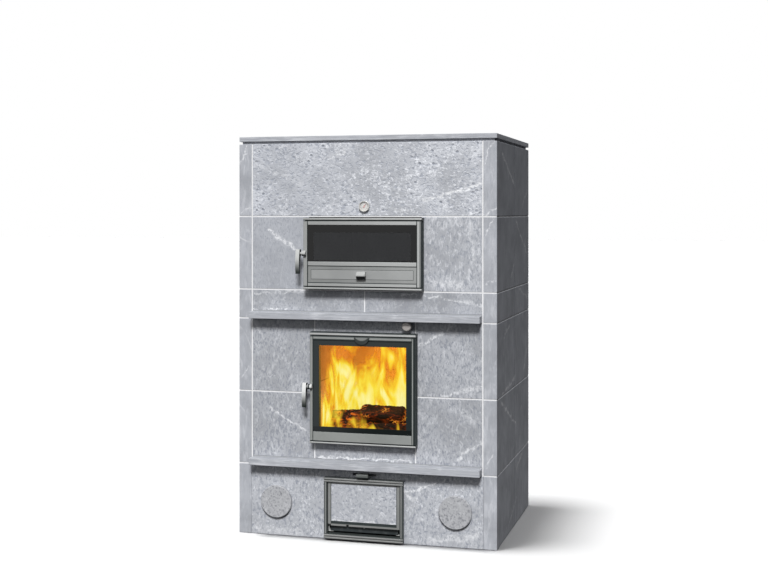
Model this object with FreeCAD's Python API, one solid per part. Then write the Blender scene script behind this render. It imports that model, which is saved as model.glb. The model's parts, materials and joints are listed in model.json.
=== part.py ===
"""Soapstone masonry heater with a bake oven above the firebox.

Millimetres, +Z up, origin on the floor under the middle of the stone body.
The front faces -Y.  Every stone, casting, pane, lever and knob is a solid of its own.
"""
import FreeCAD
import Part
import os

V = FreeCAD.Vector

# Stone shell
width = 1200.0            # outside of the two side walls
depth = 880.0             # front face to back face
slab = 60.0               # thickness of every shell slab
arris = 1.5               # chamfer on the stone edges
bed = 5.0                 # mortar bed between courses
corner_joint = 6.0        # upright mortar joint beside the side walls
pointing = 1.5            # mortar stands back this far from the stone face
dry_gap = 0.5             # slabs that meet without mortar
base_course = 318.0       # height of the lowest stones
tall_course = 328.0       # height of the four tall courses
frieze_course = 128.0     # height of the low course under the oven
side_split = 20.0         # y where the front and rear side slabs meet
ledge_height = 30.0
ledge_reach = 55.0        # ledges stand this far out of the front
shadow_gap = 12.0         # height and depth of the groove under the top slab
top_height = 22.0
base_height = 25.0        # slab that the core stands on

# Firebox and oven core
core_wall = 100.0         # brick thickness round firebox and oven
core_half = 250.0         # half the clear width of firebox and oven
core_rear = 200.0         # y of the firebox's back wall
ash_pit_room = 32.0       # ash frame's opening to the lower bricks, which carry the firebox floor
floor_height = 40.0       # firebox floor bricks
firebox_floor = 430.0     # z of the floor's top
brick_course = 300.0      # courses of the firebox walls
oven_floor = 1120.0       # z of the oven floor's top
oven_floor_layer = 65.0   # each of the two layers between firebox and oven
oven_course = 182.0       # courses of the oven walls
vault_height = 60.0
vault_slot = 120.0        # smoke slot in front of the vault
pier_height = 100.0
pier_length = 100.0
cover_height = 60.0
throat_edge = 10.0        # firebox wall to the throat, which lets the flames up into the oven
throat_width = 290.0
throat_depth = 140.0

# Grate
grate_half = 110.0
grate_front = -240.0
grate_rear = 40.0
grate_height = 10.0
grate_lip = 12.0          # how far the grate rests on the floor bricks
grate_slots = 8
grate_slot = 12.0

# Flue collar at the back
flue_bore = 80.0          # inside radius
flue_wall = 4.0
flue_flange = 24.0        # flange past the tube
flue_flange_height = 5.0
flue_z = 165.0
stone_fit = 0.5           # metal in a stone hole

# Both glazed doors
ring_lap = 8.0            # frame ring laps over the stone by about this
leaf_depth = 26.0
leaf_gap = 2.0            # leaf to frame, all round
edge_round = 4.0          # front edges of the frame bars
leaf_round = 3.0          # front edges of stiles and rails, within the glass lip
glass_thick = 4.0
glass_lip = 4.0           # front lip that the glass lies against
glass_lap = 6.0           # glass hidden behind the stiles and rails
glass_play = 0.5
clip_size = 24.0
clip_thick = 3.0
seal_width = 9.0
seal_gap = 0.3
pin_radius = 4.0
pin_reach = 12.0          # pin length in the leaf, which ends clear of the glass rebate
pin_play = 0.05
sleeve_wall = 15.0
sleeve_depth = 50.0

# Handles
lever_width = 18.5
lever_above = 18.0        # lever over the spindle
lever_below = 92.0        # lever under the spindle
lever_thick = 9.0
lever_bow = 9.0           # how far the lever bows outwards
spindle_radius = 6.0
spindle_out = 2.0         # spindle in front of the leaf's face
spindle_play = 0.05
spindle_end = 4.5         # spindle short of the boss's inner end
spindle_room = 0.5        # bore past the spindle's end
tongue_thick = 4.0
tongue_half = 5.0
tongue_play = 1.0
tongue_inset = 4.5        # tongue from the leaf's free edge
tongue_reach = 10.0       # tongue into the frame ring
slot_skin = 2.0           # leaf's front left over the tongue's slot
slot_ahead = 2.0          # slot in front of the spindle's middle, in the boss
slot_drop = 11.5          # slot under the spindle's middle, in the boss

# Fire door
fire_half = 245.0
fire_low = 434.0
fire_high = 935.0
fire_ring = 16.0          # frame ring out of the stone
fire_top_bar = 15.0
fire_low_bar = 10.0
fire_stile = 14.5
fire_top_rail = 20.0
fire_low_rail = 43.0
fire_opening = 237.5      # half width between the front slabs
fire_spindle = 688.0
fire_boss_radius = 12.0
fire_boss_out = 7.5       # boss past the leaf's edge
fire_boss_length = 20.0
fire_lever_gap = 5.0      # boss to lever

# Oven door
oven_half = 274.0
oven_low = 1126.0
oven_high = 1447.0
oven_ring = 22.0
oven_top_bar = 11.0
oven_low_bar = 11.0
oven_stile = 20.0
oven_top_rail = 20.0
oven_mid_rail = 20.0
oven_low_rail = 17.0
oven_panel = 75.0         # height of the panel that holds the air flap
oven_panel_in = 3.0       # panel stands back from the rails
oven_opening = 262.0
oven_spindle = 1287.0
oven_boss_height = 25.0
oven_boss_out = 4.0
oven_boss_length = 19.0
oven_boss_reach = 18.0
oven_lever_gap = 8.5

# Air flap in the oven door
flap_margin = 16.0        # panel border round the flap
flap_thick = 6.0
flap_play = 0.5
flap_lip = 8.0            # stop behind the flap
flap_pin_radius = 1.5
flap_pin_length = 5.0
flap_knob_width = 40.0
flap_knob_height = 34.0
flap_knob_reach = 22.0
flap_knob_rise = 1.0      # knob over the flap's lower edge

# Air wash tab at the top of the fire door
wash_width = 70.0
wash_height = 30.0
wash_reach = 6.0
wash_drop = 6.0           # middle of the slot under the leaf's top
wash_travel = 20.0
wash_neck = 12.0
wash_neck_height = 4.0
wash_play = 0.4

# Ash drawer
ash_half = 183.0
ash_low = 6.0
ash_high = 281.0
ash_reach = 24.0          # frame ring out of the stone
ash_ridge = 4.0           # ridges on the top and bottom bars
ash_side_bar = 15.0
ash_top_bar = 21.0
ash_low_bar = 22.0
ash_sleeve = 56.0
drawer_play = 2.0
drawer_face_in = 6.0      # drawer front behind the frame's front
carrier_depth = 12.0
carrier_back = 4.0
carrier_band = 15.0
carrier_low_band = 14.0
carrier_top_band = 5.0
carrier_low = 72.0        # underside of the drawer front
panel_play = 0.3
catch_inset = 13.0        # drawer front's left end to the catch
catch_length = 73.0
catch_height = 7.0
catch_travel = 11.0
catch_stem = 10.0
pan_side_room = 12.0      # frame's opening to the pan
pan_wall = 2.0
pan_low = 38.0
pan_high = 236.0
pan_length = 340.0
runner_wall = 3.0
runner_flange = 22.0
runner_height = 30.0
screw_radius = 4.0
screw_head = 2.5
screw_z = 60.0

# Air control tab over the ash frame
control_half = 27.0
control_height = 17.0
control_z = 297.0
control_reach = 42.0
control_depth = 24.0
control_stem = 8.0
control_stem_height = 8.0
control_travel = 50.0
control_play = 0.4
control_plate = 60.0      # half width of the valve plate inside
control_plate_thick = 4.0

# Sweep plugs
plug_from_wall = 124.0    # side wall's inner face to the plug's middle
plug_z = 155.0
plug_radius = 74.0
plug_face = 15.0          # disc out of the stone
plug_spigot = 60.0        # radius in the hole
plug_spigot_short = 2.0   # spigot ends this far inside the slab
plug_play = 0.5
plug_arris = 3.0

# Oven thermometer
gauge_z = 1498.0
gauge_radius = 24.0
gauge_reach = 12.0
gauge_rim = 2.5
gauge_dial_in = 7.0       # dial behind the rim's front
gauge_dial_thick = 1.0
gauge_lens_thick = 1.5
gauge_stem = 6.0
gauge_stem_length = 115.0
needle_length = 17.0
needle_tail = 8.0
needle_shoulder = 6.0     # where the blade starts to taper
needle_width = 2.0
needle_thick = 0.8
needle_hub = 2.6
needle_arbor = 1.0
needle_lift = 1.2         # needle over the dial
needle_angle = 35.0       # degrees off upright, clockwise from the front

# Damper pull
damper_from_wall = 49.0   # firebox wall to the rod, at least
damper_from_end = 31.5    # lintel's end to the rod, at least
damper_drop = 23.0        # rod under the throat slabs
damper_rod_radius = 7.0
damper_knob_radius = 21.5
damper_knob_depth = 20.0
damper_neck = 12.0        # stone to knob
damper_knob_round = 6.0
damper_plate_height = 8.0
damper_plate_gap = 2.0    # plate under the throat slab
damper_plate_lap = 8.0    # plate past the throat's edges
damper_saddle = 14.0      # half width of the block that holds the rod

# Worked out from the sizes above
half_width = width / 2
front = -depth / 2
back = depth / 2
inner_x = half_width - slab
inner_front = front + slab
inner_back = back - slab
face_half = inner_x - corner_joint
ledge_front = front - ledge_reach
core_out = core_half + core_wall
core_back = core_rear + core_wall
throat_right = core_half - throat_edge
throat_left = throat_right - throat_width
throat_front = core_rear - throat_depth
throat_floor = oven_floor - 2 * oven_floor_layer
plug_x = inner_x - plug_from_wall
lintel_half = fire_opening - bed
damper_x = min(core_half - damper_from_wall, lintel_half - damper_from_end)
damper_z = throat_floor - damper_drop


def course_levels():
    """Lowest and highest z of each course, from the floor up."""
    levels = []
    z = 0.0
    for height in (base_course, tall_course, tall_course, frieze_course, tall_course, tall_course):
        levels.append((z, z + height))
        z += height + bed
    return levels


courses = course_levels()
wall_top = courses[-1][1]
low_ledge_z = courses[1][0]
high_ledge_z = courses[3][0]


# Shapes that repeat

def block(x0, x1, y0, y1, z0, z1):
    """Box between two corners."""
    return Part.makeBox(x1 - x0, y1 - y0, z1 - z0, V(x0, y0, z0))


def stone(x0, x1, y0, y1, z0, z1):
    """Box with its edges broken, as sawn stone has them."""
    piece = block(x0, x1, y0, y1, z0, z1)
    return piece.makeChamfer(arris, piece.Edges)


def rod(radius, start, end):
    """Cylinder between two points."""
    run = end - start
    return Part.makeCylinder(radius, run.Length, start, run)


def frame_ring(half, z0, z1, y0, y1, inner_half, inner_z0, inner_z1):
    """Rectangular ring that faces the front."""
    outer = block(-half, half, y0, y1, z0, z1)
    return outer.cut(block(-inner_half, inner_half, y0 - 1, y1 + 1, inner_z0, inner_z1))


def on_plane(edge, axis, value):
    """True if the whole edge lies at that x, y or z."""
    return all(abs(getattr(v.Point, axis) - value) < 1e-6 for v in edge.Vertexes)


def runs_along(edge, axis):
    """True if a straight edge runs along that axis."""
    ends = [getattr(v.Point, axis) for v in edge.Vertexes]
    return len(ends) == 2 and abs(ends[0] - ends[1]) > 1e-6


def bar(x0, x1, y0, y1, z0, z1, along, radius):
    """Box whose two long front edges are rounded."""
    piece = block(x0, x1, y0, y1, z0, z1)
    edges = [e for e in piece.Edges if on_plane(e, "y", y0) and runs_along(e, along)]
    return piece.makeFillet(radius, edges)


def fuse(pieces):
    """One solid from overlapping or touching solids."""
    return pieces[0].multiFuse(pieces[1:]).removeSplitter()


# Stone shell

def wall_slabs(side):
    """Side wall: a front and a rear slab in each course."""
    x0, x1 = sorted((side * inner_x, side * half_width))
    slabs = []
    for z0, z1 in courses:
        slabs.append(stone(x0, x1, front, side_split - dry_gap / 2, z0, z1))
        slabs.append(stone(x0, x1, side_split + dry_gap / 2, back, z0, z1))
    return slabs


def back_slabs():
    """Back wall between the side walls, over the flue slab."""
    slabs = []
    for z0, z1 in courses[1:]:
        slabs.append(stone(-inner_x, -dry_gap / 2, inner_back, back, z0, z1))
        slabs.append(stone(dry_gap / 2, inner_x, inner_back, back, z0, z1))
    return slabs


def flue_slab():
    """Lowest slab of the back wall, with the hole for the flue collar."""
    hole = rod(flue_bore + flue_wall + stone_fit, V(0, inner_back - 1, flue_z), V(0, back + 1, flue_z))
    return stone(-inner_x, inner_x, inner_back, back, *courses[0]).cut(hole)


def front_base():
    """Lowest front slab: notched for the ash drawer, bored for plugs, slotted for the air control."""
    z0, z1 = courses[0]
    piece = stone(-inner_x + dry_gap, inner_x - dry_gap, front, inner_front, z0, z1)
    notch_half = ash_half - ring_lap
    cuts = [block(-notch_half, notch_half, front - 1, inner_front + 1, z0 - 1, ash_high - ring_lap)]
    for x in (-plug_x, plug_x):
        cuts.append(rod(plug_spigot + plug_play, V(x, front - 1, plug_z), V(x, inner_front + 1, plug_z)))
    slot_half = control_stem / 2 + control_travel + control_play
    slot_rise = control_stem_height / 2 + control_play
    cuts.append(block(-slot_half, slot_half, front - 1, inner_front + 1,
                      control_z - slot_rise, control_z + slot_rise))
    return piece.cut(cuts)


def fire_stones():
    """Slabs beside, over and under the fire door, between the two ledges."""
    low = low_ledge_z + ledge_height + bed
    split_low = courses[1][1]
    split_high = courses[2][0]
    high = courses[2][1]
    beside = []
    for x0, x1 in ((-face_half, -fire_opening), (fire_opening, face_half)):
        beside.append(stone(x0, x1, front, inner_front, low, split_low))
        beside.append(stone(x0, x1, front, inner_front, split_high, high))
    sill = stone(-lintel_half, lintel_half, front, inner_front, low, fire_low + ring_lap + sleeve_wall)
    lintel = stone(-lintel_half, lintel_half, front, inner_front, fire_high - ring_lap - sleeve_wall, high)
    bore = rod(damper_rod_radius + stone_fit, V(damper_x, front - 1, damper_z),
               V(damper_x, inner_front + 1, damper_z))
    return beside, sill, lintel.cut(bore)


def ledge(z):
    """Stone shelf that runs between the side walls."""
    return stone(-face_half, face_half, ledge_front, inner_front, z, z + ledge_height)


def frieze_slabs():
    z0 = high_ledge_z + ledge_height + bed
    z1 = courses[3][1]
    return [stone(-face_half, -bed / 2, front, inner_front, z0, z1),
            stone(bed / 2, face_half, front, inner_front, z0, z1)]


def oven_slabs():
    z0, z1 = courses[4]
    return [stone(-face_half, -oven_opening, front, inner_front, z0, z1),
            stone(oven_opening, face_half, front, inner_front, z0, z1)]


def front_top():
    """Top front slab, bored for the thermometer's stem."""
    z0, z1 = courses[5]
    bore = rod(gauge_stem + stone_fit, V(0, front - 1, gauge_z), V(0, inner_front + 1, gauge_z))
    return stone(-face_half, face_half, front, inner_front, z0, z1).cut(bore)


def mortar():
    """Beds between the courses and upright joints in the front."""
    face = front + pointing
    pieces = []
    for (_, z0), (z1, _) in zip(courses, courses[1:]):
        for side in (-1, 1):
            x0, x1 = sorted((side * inner_x, side * (half_width - pointing)))
            pieces.append(block(x0, x1, face, back - pointing, z0, z1))
        pieces.append(block(-inner_x, inner_x, inner_back, back - pointing, z0, z1))
    ledge_beds = (low_ledge_z + ledge_height, high_ledge_z + ledge_height)
    open_beds = [courses[0][1], courses[2][1], courses[3][1], courses[4][1], *ledge_beds]
    for z in open_beds:
        pieces.append(block(-inner_x, inner_x, face, inner_front, z, z + bed))
    split = courses[1][1]
    for side in (-1, 1):
        x0, x1 = sorted((side * fire_opening, side * inner_x))
        pieces.append(block(x0, x1, face, inner_front, split, split + bed))
    uprights = [(low_ledge_z, low_ledge_z + ledge_height), (ledge_beds[0] + bed, split),
                courses[2], (high_ledge_z, high_ledge_z + ledge_height),
                (ledge_beds[1] + bed, courses[3][1]), courses[4], courses[5]]
    for z0, z1 in uprights:
        for side in (-1, 1):
            x0, x1 = sorted((side * face_half, side * inner_x))
            pieces.append(block(x0, x1, face, inner_front, z0, z1))
    jambs = [(ledge_beds[0] + bed, fire_low + ring_lap + sleeve_wall),
             (fire_high - ring_lap - sleeve_wall, courses[2][1])]
    for z0, z1 in jambs:
        for side in (-1, 1):
            x0, x1 = sorted((side * lintel_half, side * fire_opening))
            pieces.append(block(x0, x1, face, inner_front, z0, z1))
    pieces.append(block(-bed / 2, bed / 2, face, inner_front, ledge_beds[1] + bed, courses[3][1]))
    return pieces


def top_stones():
    """Set-back spacer slab and the top slab over it."""
    spacer = block(-half_width + shadow_gap, half_width - shadow_gap, front + shadow_gap,
                   back - shadow_gap, wall_top, wall_top + shadow_gap)
    z = wall_top + shadow_gap
    return spacer, stone(-half_width, half_width, front, back, z, z + top_height)


# Core

def core_levels():
    """z of each joint in the firebox walls, from the ash pit up to the oven floor."""
    low = firebox_floor - floor_height
    return [low, low + brick_course, throat_floor]


def core_bricks():
    """Side walls of ash pit, firebox and oven, and the piers over the vault."""
    sides = []
    rear = []
    joints = core_levels()
    oven_levels = [oven_floor, oven_floor + oven_course, oven_floor + 2 * oven_course]
    vault_top = oven_levels[-1] + vault_height
    spans = list(zip(joints, joints[1:])) + list(zip(oven_levels, oven_levels[1:]))
    for side in (-1, 1):
        x0, x1 = sorted((side * (ash_inner + ash_pit_room), side * core_out))
        sides.append(block(x0, x1, inner_front, core_rear, base_height, joints[0]))
        x0, x1 = sorted((side * core_half, side * core_out))
        for z0, z1 in spans:
            sides.append(block(x0, x1, inner_front, core_rear, z0, z1))
        pier_front = inner_front + vault_slot
        for y0 in (pier_front, core_back - pier_length):
            sides.append(block(x0, x1, y0, y0 + pier_length, vault_top, vault_top + pier_height))
    levels = [base_height, *joints, *oven_levels]
    for z0, z1 in zip(levels, levels[1:]):
        rear.append(block(-core_out, core_out, core_rear, core_back, z0, z1))
    return sides, rear


def firebox_floor_bricks():
    """Floor bricks round the grate's hole, carried by the ash pit walls."""
    z0, z1 = firebox_floor - floor_height, firebox_floor
    hole = grate_half - grate_lip
    hole_front = grate_front + grate_lip
    hole_rear = grate_rear - grate_lip
    return [block(-core_half, core_half, inner_front, hole_front, z0, z1),
            block(-core_half, core_half, hole_rear, core_rear, z0, z1),
            block(-core_half, -hole, hole_front, hole_rear, z0, z1),
            block(hole, core_half, hole_front, hole_rear, z0, z1)]


def grate():
    """Cast grate with slots along the firebox."""
    top = firebox_floor + grate_height
    piece = block(-grate_half, grate_half, grate_front, grate_rear, firebox_floor, top)
    clear = 2 * (grate_half - grate_lip)
    pitch = clear / grate_slots
    slots = []
    for i in range(grate_slots):
        x = -clear / 2 + pitch * (i + 0.5)
        slots.append(block(x - grate_slot / 2, x + grate_slot / 2, grate_front + grate_lip,
                           grate_rear - grate_lip, firebox_floor - 1, top + 1))
    return piece.cut(slots)


def oven_floor_slabs():
    """Two layers between firebox and oven, open at the throat."""
    pieces = []
    for layer in range(2):
        z1 = oven_floor - layer * oven_floor_layer
        z0 = z1 - oven_floor_layer
        pieces.append(block(-core_out, core_out, inner_front, throat_front, z0, z1))
        pieces.append(block(-core_out, throat_left, throat_front, core_rear, z0, z1))
        pieces.append(block(throat_right, core_out, throat_front, core_rear, z0, z1))
    return pieces


def vault_and_cover():
    """Oven vault, and the cover slab that closes the smoke chamber."""
    z = oven_floor + 2 * oven_course
    vault = block(-core_out, core_out, inner_front + vault_slot, core_back, z, z + vault_height)
    z += vault_height + pier_height
    cover = block(-inner_x, inner_x, inner_front, inner_back, z, z + cover_height)
    return vault, cover


def flue_collar():
    """Sleeve with a flange in the back wall, where the chimney pipe goes in."""
    outside = flue_bore + flue_wall
    rim = back + flue_flange_height
    tube = rod(outside, V(0, inner_back, flue_z), V(0, back, flue_z))
    flange = rod(outside + flue_flange, V(0, back, flue_z), V(0, rim, flue_z))
    bore = rod(flue_bore, V(0, inner_back - 1, flue_z), V(0, rim + 1, flue_z))
    return tube.fuse(flange).removeSplitter().cut(bore)


# Glazed doors

class Door:
    """Levels and planes of one glazed door, worked out from its own sizes."""

    def __init__(self, half, low, high, ring, top_bar, low_bar, stile, opening, hole_low, hole_high):
        self.half, self.low, self.high = half, low, high
        self.top_bar, self.low_bar, self.stile = top_bar, low_bar, stile
        self.opening, self.hole_low, self.hole_high = opening, hole_low, hole_high
        self.ring_front = front - ring
        self.leaf_back = self.ring_front - leaf_gap
        self.leaf_front = self.leaf_back - leaf_depth
        self.bar_front = self.leaf_front + leaf_gap
        self.leaf_half = half - leaf_gap / 2
        self.leaf_low = low + low_bar + leaf_gap
        self.leaf_high = high - top_bar - leaf_gap
        self.clear = opening - sleeve_wall
        seal_seat = seal_width + leaf_gap
        self.clear_low = max(hole_low + sleeve_wall, self.leaf_low + seal_seat)
        self.clear_high = min(hole_high - sleeve_wall, self.leaf_high - seal_seat)
        self.tongue_x = -self.leaf_half + tongue_inset
        self.tongue_tip = self.ring_front + tongue_reach
        self.axis_x = self.leaf_half - leaf_depth / 2
        self.axis_y = (self.leaf_front + self.leaf_back) / 2
        self.glass_front = self.leaf_front + glass_lip


fire = Door(fire_half, fire_low, fire_high, fire_ring, fire_top_bar, fire_low_bar, fire_stile,
            fire_opening, fire_low + ring_lap + sleeve_wall, fire_high - ring_lap - sleeve_wall)
oven = Door(oven_half, oven_low, oven_high, oven_ring, oven_top_bar, oven_low_bar, oven_stile,
            oven_opening, courses[4][0], courses[4][1])


def door_frame(d, spindle_y, spindle_z):
    """Cast frame: ring on the stone, sleeve in the opening, top and bottom bars with pin holes."""
    ring = frame_ring(d.half, d.low, d.high, d.ring_front, front, d.clear, d.clear_low, d.clear_high)
    sleeve = frame_ring(d.opening - stone_fit, max(d.hole_low, d.low) + stone_fit,
                        min(d.hole_high, d.high) - stone_fit, front, front + sleeve_depth,
                        d.clear, d.clear_low, d.clear_high)
    top = bar(-d.half, d.half, d.bar_front, d.ring_front, d.high - d.top_bar, d.high, "x", edge_round)
    low = bar(-d.half, d.half, d.bar_front, d.ring_front, d.low, d.low + d.low_bar, "x", edge_round)
    holes = [rod(pin_radius + pin_play, V(d.axis_x, d.axis_y, z0), V(d.axis_x, d.axis_y, z1))
             for z0, z1 in pin_spans(d, in_bars=True)]
    pocket = tongue_slot(d, d.ring_front - 1, d.tongue_tip + tongue_play, spindle_y, spindle_z)
    return fuse([ring, sleeve, top, low]).cut([*holes, pocket])


def pin_spans(d, in_bars):
    """z spans of the hinge pins in the bars, or in the leaf."""
    top = d.high - d.top_bar
    low = d.low + d.low_bar
    bar_reach = pin_reach - leaf_gap
    if in_bars:
        return [(top - 1, top + min(bar_reach, d.top_bar - leaf_gap)),
                (low - min(bar_reach, d.low_bar - leaf_gap), low + 1)]
    return [(d.leaf_high - pin_reach, d.leaf_high + 1), (d.leaf_low - 1, d.leaf_low + pin_reach)]


def hinge_pins(d):
    """The two pins that the leaf turns on."""
    (_, top_end), (low_end, _) = pin_spans(d, in_bars=True)
    ends = [(d.leaf_high - pin_reach, top_end), (low_end, d.leaf_low + pin_reach)]
    return [rod(pin_radius, V(d.axis_x, d.axis_y, z0), V(d.axis_x, d.axis_y, z1)) for z0, z1 in ends]


def leaf_stiles(d):
    """Left stile with rounded front edges, right stile with a round hinge edge."""
    left = bar(-d.leaf_half, -d.leaf_half + d.stile, d.leaf_front, d.leaf_back,
               d.leaf_low, d.leaf_high, "z", leaf_round)
    right = block(d.leaf_half - d.stile, d.axis_x, d.leaf_front, d.leaf_back, d.leaf_low, d.leaf_high)
    barrel = rod(leaf_depth / 2, V(d.axis_x, d.axis_y, d.leaf_low), V(d.axis_x, d.axis_y, d.leaf_high))
    keep = block(d.leaf_half - d.stile, d.leaf_half + 1, d.leaf_front, d.leaf_back, d.leaf_low, d.leaf_high)
    barrel = barrel.common(keep)
    return left, fuse([right, barrel]) if d.axis_x > d.leaf_half - d.stile else barrel


def leaf_rail(d, z0, z1):
    """Cross bar of the leaf, from stile to stile."""
    inner = d.leaf_half - d.stile
    return bar(-inner, inner, d.leaf_front, d.leaf_back, z0, z1, "x", leaf_round)


def window_cuts(d, z0, z1):
    """Window with a rebate behind it for the glass."""
    half = d.leaf_half - d.stile
    window = block(-half, half, d.leaf_front - 1, d.leaf_back + 1, z0, z1)
    rebate = block(-half - glass_lap, half + glass_lap, d.glass_front, d.leaf_back + 1,
                   z0 - glass_lap, z1 + glass_lap)
    return [window, rebate]


def door_glass(d, z0, z1):
    half = d.leaf_half - d.stile + glass_lap - glass_play
    return block(-half, half, d.glass_front, d.glass_front + glass_thick,
                 z0 - glass_lap + glass_play, z1 + glass_lap - glass_play)


def glass_clips(d, z0, z1):
    """Clips in the rebate that hold the pane against the lip."""
    half = d.leaf_half - d.stile + glass_lap
    y0 = d.glass_front + glass_thick
    clips = []
    for z in (z0 + clip_size, (z0 + z1) / 2, z1 - clip_size):
        for side in (-1, 1):
            x0, x1 = sorted((side * half, side * (half - 2 * glass_lap)))
            clips.append(block(x0, x1, y0, y0 + clip_thick, z - clip_size / 2, z + clip_size / 2))
    return clips


def door_seal(d):
    """Flat rope seal on the frame ring, round the opening."""
    return frame_ring(d.clear + seal_width, d.clear_low - seal_width, d.clear_high + seal_width,
                      d.leaf_back + seal_gap, d.ring_front, d.clear, d.clear_low, d.clear_high)


def tongue_slot(d, y0, y1, spindle_y, spindle_z):
    """Room for the latch tongue between two planes, over its whole swing."""
    reach = d.tongue_tip - spindle_y
    half = tongue_thick / 2 + tongue_play
    return block(d.tongue_x - half, d.tongue_x + half, y0, y1,
                 spindle_z - reach - tongue_half, spindle_z + tongue_half + tongue_play)


def leaf_tongue_cuts(d, spindle_y, spindle_z):
    """The tongue's slot in the leaf: behind the front skin, and further forward inside the boss."""
    deep = tongue_slot(d, d.leaf_front + slot_skin, d.leaf_back + 1, spindle_y, spindle_z)
    half = tongue_thick / 2 + tongue_play
    near = block(d.tongue_x - half, d.tongue_x + half, spindle_y - slot_ahead, d.leaf_front + slot_skin + 1,
                 spindle_z - slot_drop, spindle_z + tongue_half + tongue_play)
    return [deep, near]


def latch(d, x_lever, x_boss, spindle_y, spindle_z):
    """Spindle with the tongue that reaches into the frame."""
    end = x_boss - spindle_end
    spindle = rod(spindle_radius, V(x_lever, spindle_y, spindle_z), V(end, spindle_y, spindle_z))
    tongue = block(d.tongue_x - tongue_thick / 2, d.tongue_x + tongue_thick / 2, spindle_y,
                   d.tongue_tip, spindle_z - tongue_half, spindle_z + tongue_half)
    return fuse([spindle, tongue])


def lever(x0, spindle_y, spindle_z):
    """Bowed lever that hangs from the spindle's end."""
    def point(y, z):
        return V(x0, spindle_y + y, spindle_z + z)

    head = lever_thick
    foot_out = -head - lever_bow / 2
    top_out, top_in = point(-head, lever_above), point(head, lever_above)
    bow_out = point(-head - lever_bow, -lever_below / 2)
    low_out, low_in = point(foot_out, -lever_below), point(foot_out + lever_thick, -lever_below)
    bow_in = point(-lever_bow, -lever_below / 2)
    neck_in = point(head, -spindle_radius - lever_thick / 2)
    edges = [Part.LineSegment(top_in, top_out), Part.Arc(top_out, bow_out, low_out),
             Part.LineSegment(low_out, low_in), Part.Arc(low_in, bow_in, neck_in),
             Part.LineSegment(neck_in, top_in)]
    face = Part.Face(Part.Wire([e.toShape() for e in edges]))
    piece = face.extrude(V(lever_width, 0, 0))
    ends = [e for e in piece.Edges if runs_along(e, "x") and e.Vertexes[0].Point.y < spindle_y]
    piece = piece.makeFillet(lever_thick / 3, ends)
    hole = rod(spindle_radius + spindle_play, V(x0 + lever_width / 2, spindle_y, spindle_z),
               V(x0 + lever_width + 1, spindle_y, spindle_z))
    return piece.cut(hole)


def spindle_bore(x_left, x_boss, y, z):
    """Blind bore in a handle boss, a little longer than the spindle."""
    end = x_boss - spindle_end + spindle_room
    return rod(spindle_radius + spindle_play, V(x_left - 1, y, z), V(end, y, z))


# Fire door

fire_window = (fire.leaf_low + fire_low_rail, fire.leaf_high - fire_top_rail)
fire_spindle_y = fire.leaf_front - spindle_out
fire_boss_left = -fire.leaf_half - fire_boss_out
fire_boss_right = fire_boss_left + fire_boss_length
fire_lever_x = fire_boss_left - fire_lever_gap - lever_width


def fire_leaf():
    """Leaf of the fire door, with the handle boss and the slot of the air wash tab."""
    d = fire
    boss = rod(fire_boss_radius, V(fire_boss_left, fire_spindle_y, fire_spindle),
               V(fire_boss_right, fire_spindle_y, fire_spindle))
    rails = [leaf_rail(d, d.leaf_low, fire_window[0]), leaf_rail(d, fire_window[1], d.leaf_high)]
    body = fuse([*leaf_stiles(d), *rails, boss])
    cuts = window_cuts(d, *fire_window)
    cuts += [rod(pin_radius + pin_play, V(d.axis_x, d.axis_y, z0), V(d.axis_x, d.axis_y, z1))
             for z0, z1 in pin_spans(d, in_bars=False)]
    cuts.append(spindle_bore(fire_boss_left, fire_boss_right, fire_spindle_y, fire_spindle))
    cuts += leaf_tongue_cuts(d, fire_spindle_y, fire_spindle)
    cuts.append(wash_slot_cut())
    return body.cut(cuts)


def wash_slot_cut():
    """Slot in the top rail that the tab's neck slides in."""
    z = fire.leaf_high - wash_drop
    half = wash_neck / 2 + wash_travel + wash_play
    rise = wash_neck_height / 2 + wash_play
    return block(-half, half, fire.leaf_front - 1, fire.leaf_back + 1, z - rise, z + rise)


def air_wash_tab():
    """Half-moon tab in front of the top rail, on a neck that slides in the slot."""
    z = fire.leaf_high - wash_drop
    top = z + wash_neck_height / 2
    y1 = fire.leaf_front - wash_play
    y0 = y1 - wash_reach
    left, right = V(-wash_width / 2, y0, top), V(wash_width / 2, y0, top)
    low = V(0, y0, top - wash_height)
    rim = Part.Wire([Part.Arc(left, low, right).toShape(), Part.LineSegment(right, left).toShape()])
    moon = Part.Face(rim).extrude(V(0, wash_reach, 0))
    neck = block(-wash_neck / 2, wash_neck / 2, y1, fire.leaf_back - wash_play, z - wash_neck_height / 2, top)
    return fuse([moon, neck])


# Oven door

oven_panel_low = oven.leaf_low + oven_low_rail
oven_panel_high = oven_panel_low + oven_panel
oven_window = (oven_panel_high + oven_mid_rail, oven.leaf_high - oven_top_rail)
oven_spindle_y = oven.leaf_front - spindle_out
oven_boss_left = -oven.leaf_half - oven_boss_out
oven_boss_right = oven_boss_left + oven_boss_length
oven_lever_x = oven_boss_left - oven_lever_gap - lever_width
panel_front = oven.leaf_front + oven_panel_in
flap_half = oven.leaf_half - oven_stile - flap_margin
flap_low = oven_panel_low + flap_margin
flap_high = oven_panel_high - flap_margin
flap_axis_y = panel_front + flap_thick / 2
flap_axis_z = flap_high - flap_thick / 2


def wedge(x0, x1, y_front, y_back, z0, z1):
    """Grip block with two sloping faces that meet in a blunt ridge."""
    middle = (z0 + z1) / 2
    blunt = (z1 - z0) / 8
    shoulder = (y_front + y_back) / 2
    outline = [V(x0, y_back, z0), V(x0, shoulder, z0), V(x0, y_front, middle - blunt),
               V(x0, y_front, middle + blunt), V(x0, shoulder, z1), V(x0, y_back, z1), V(x0, y_back, z0)]
    return Part.Face(Part.makePolygon(outline)).extrude(V(x1 - x0, 0, 0))


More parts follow.
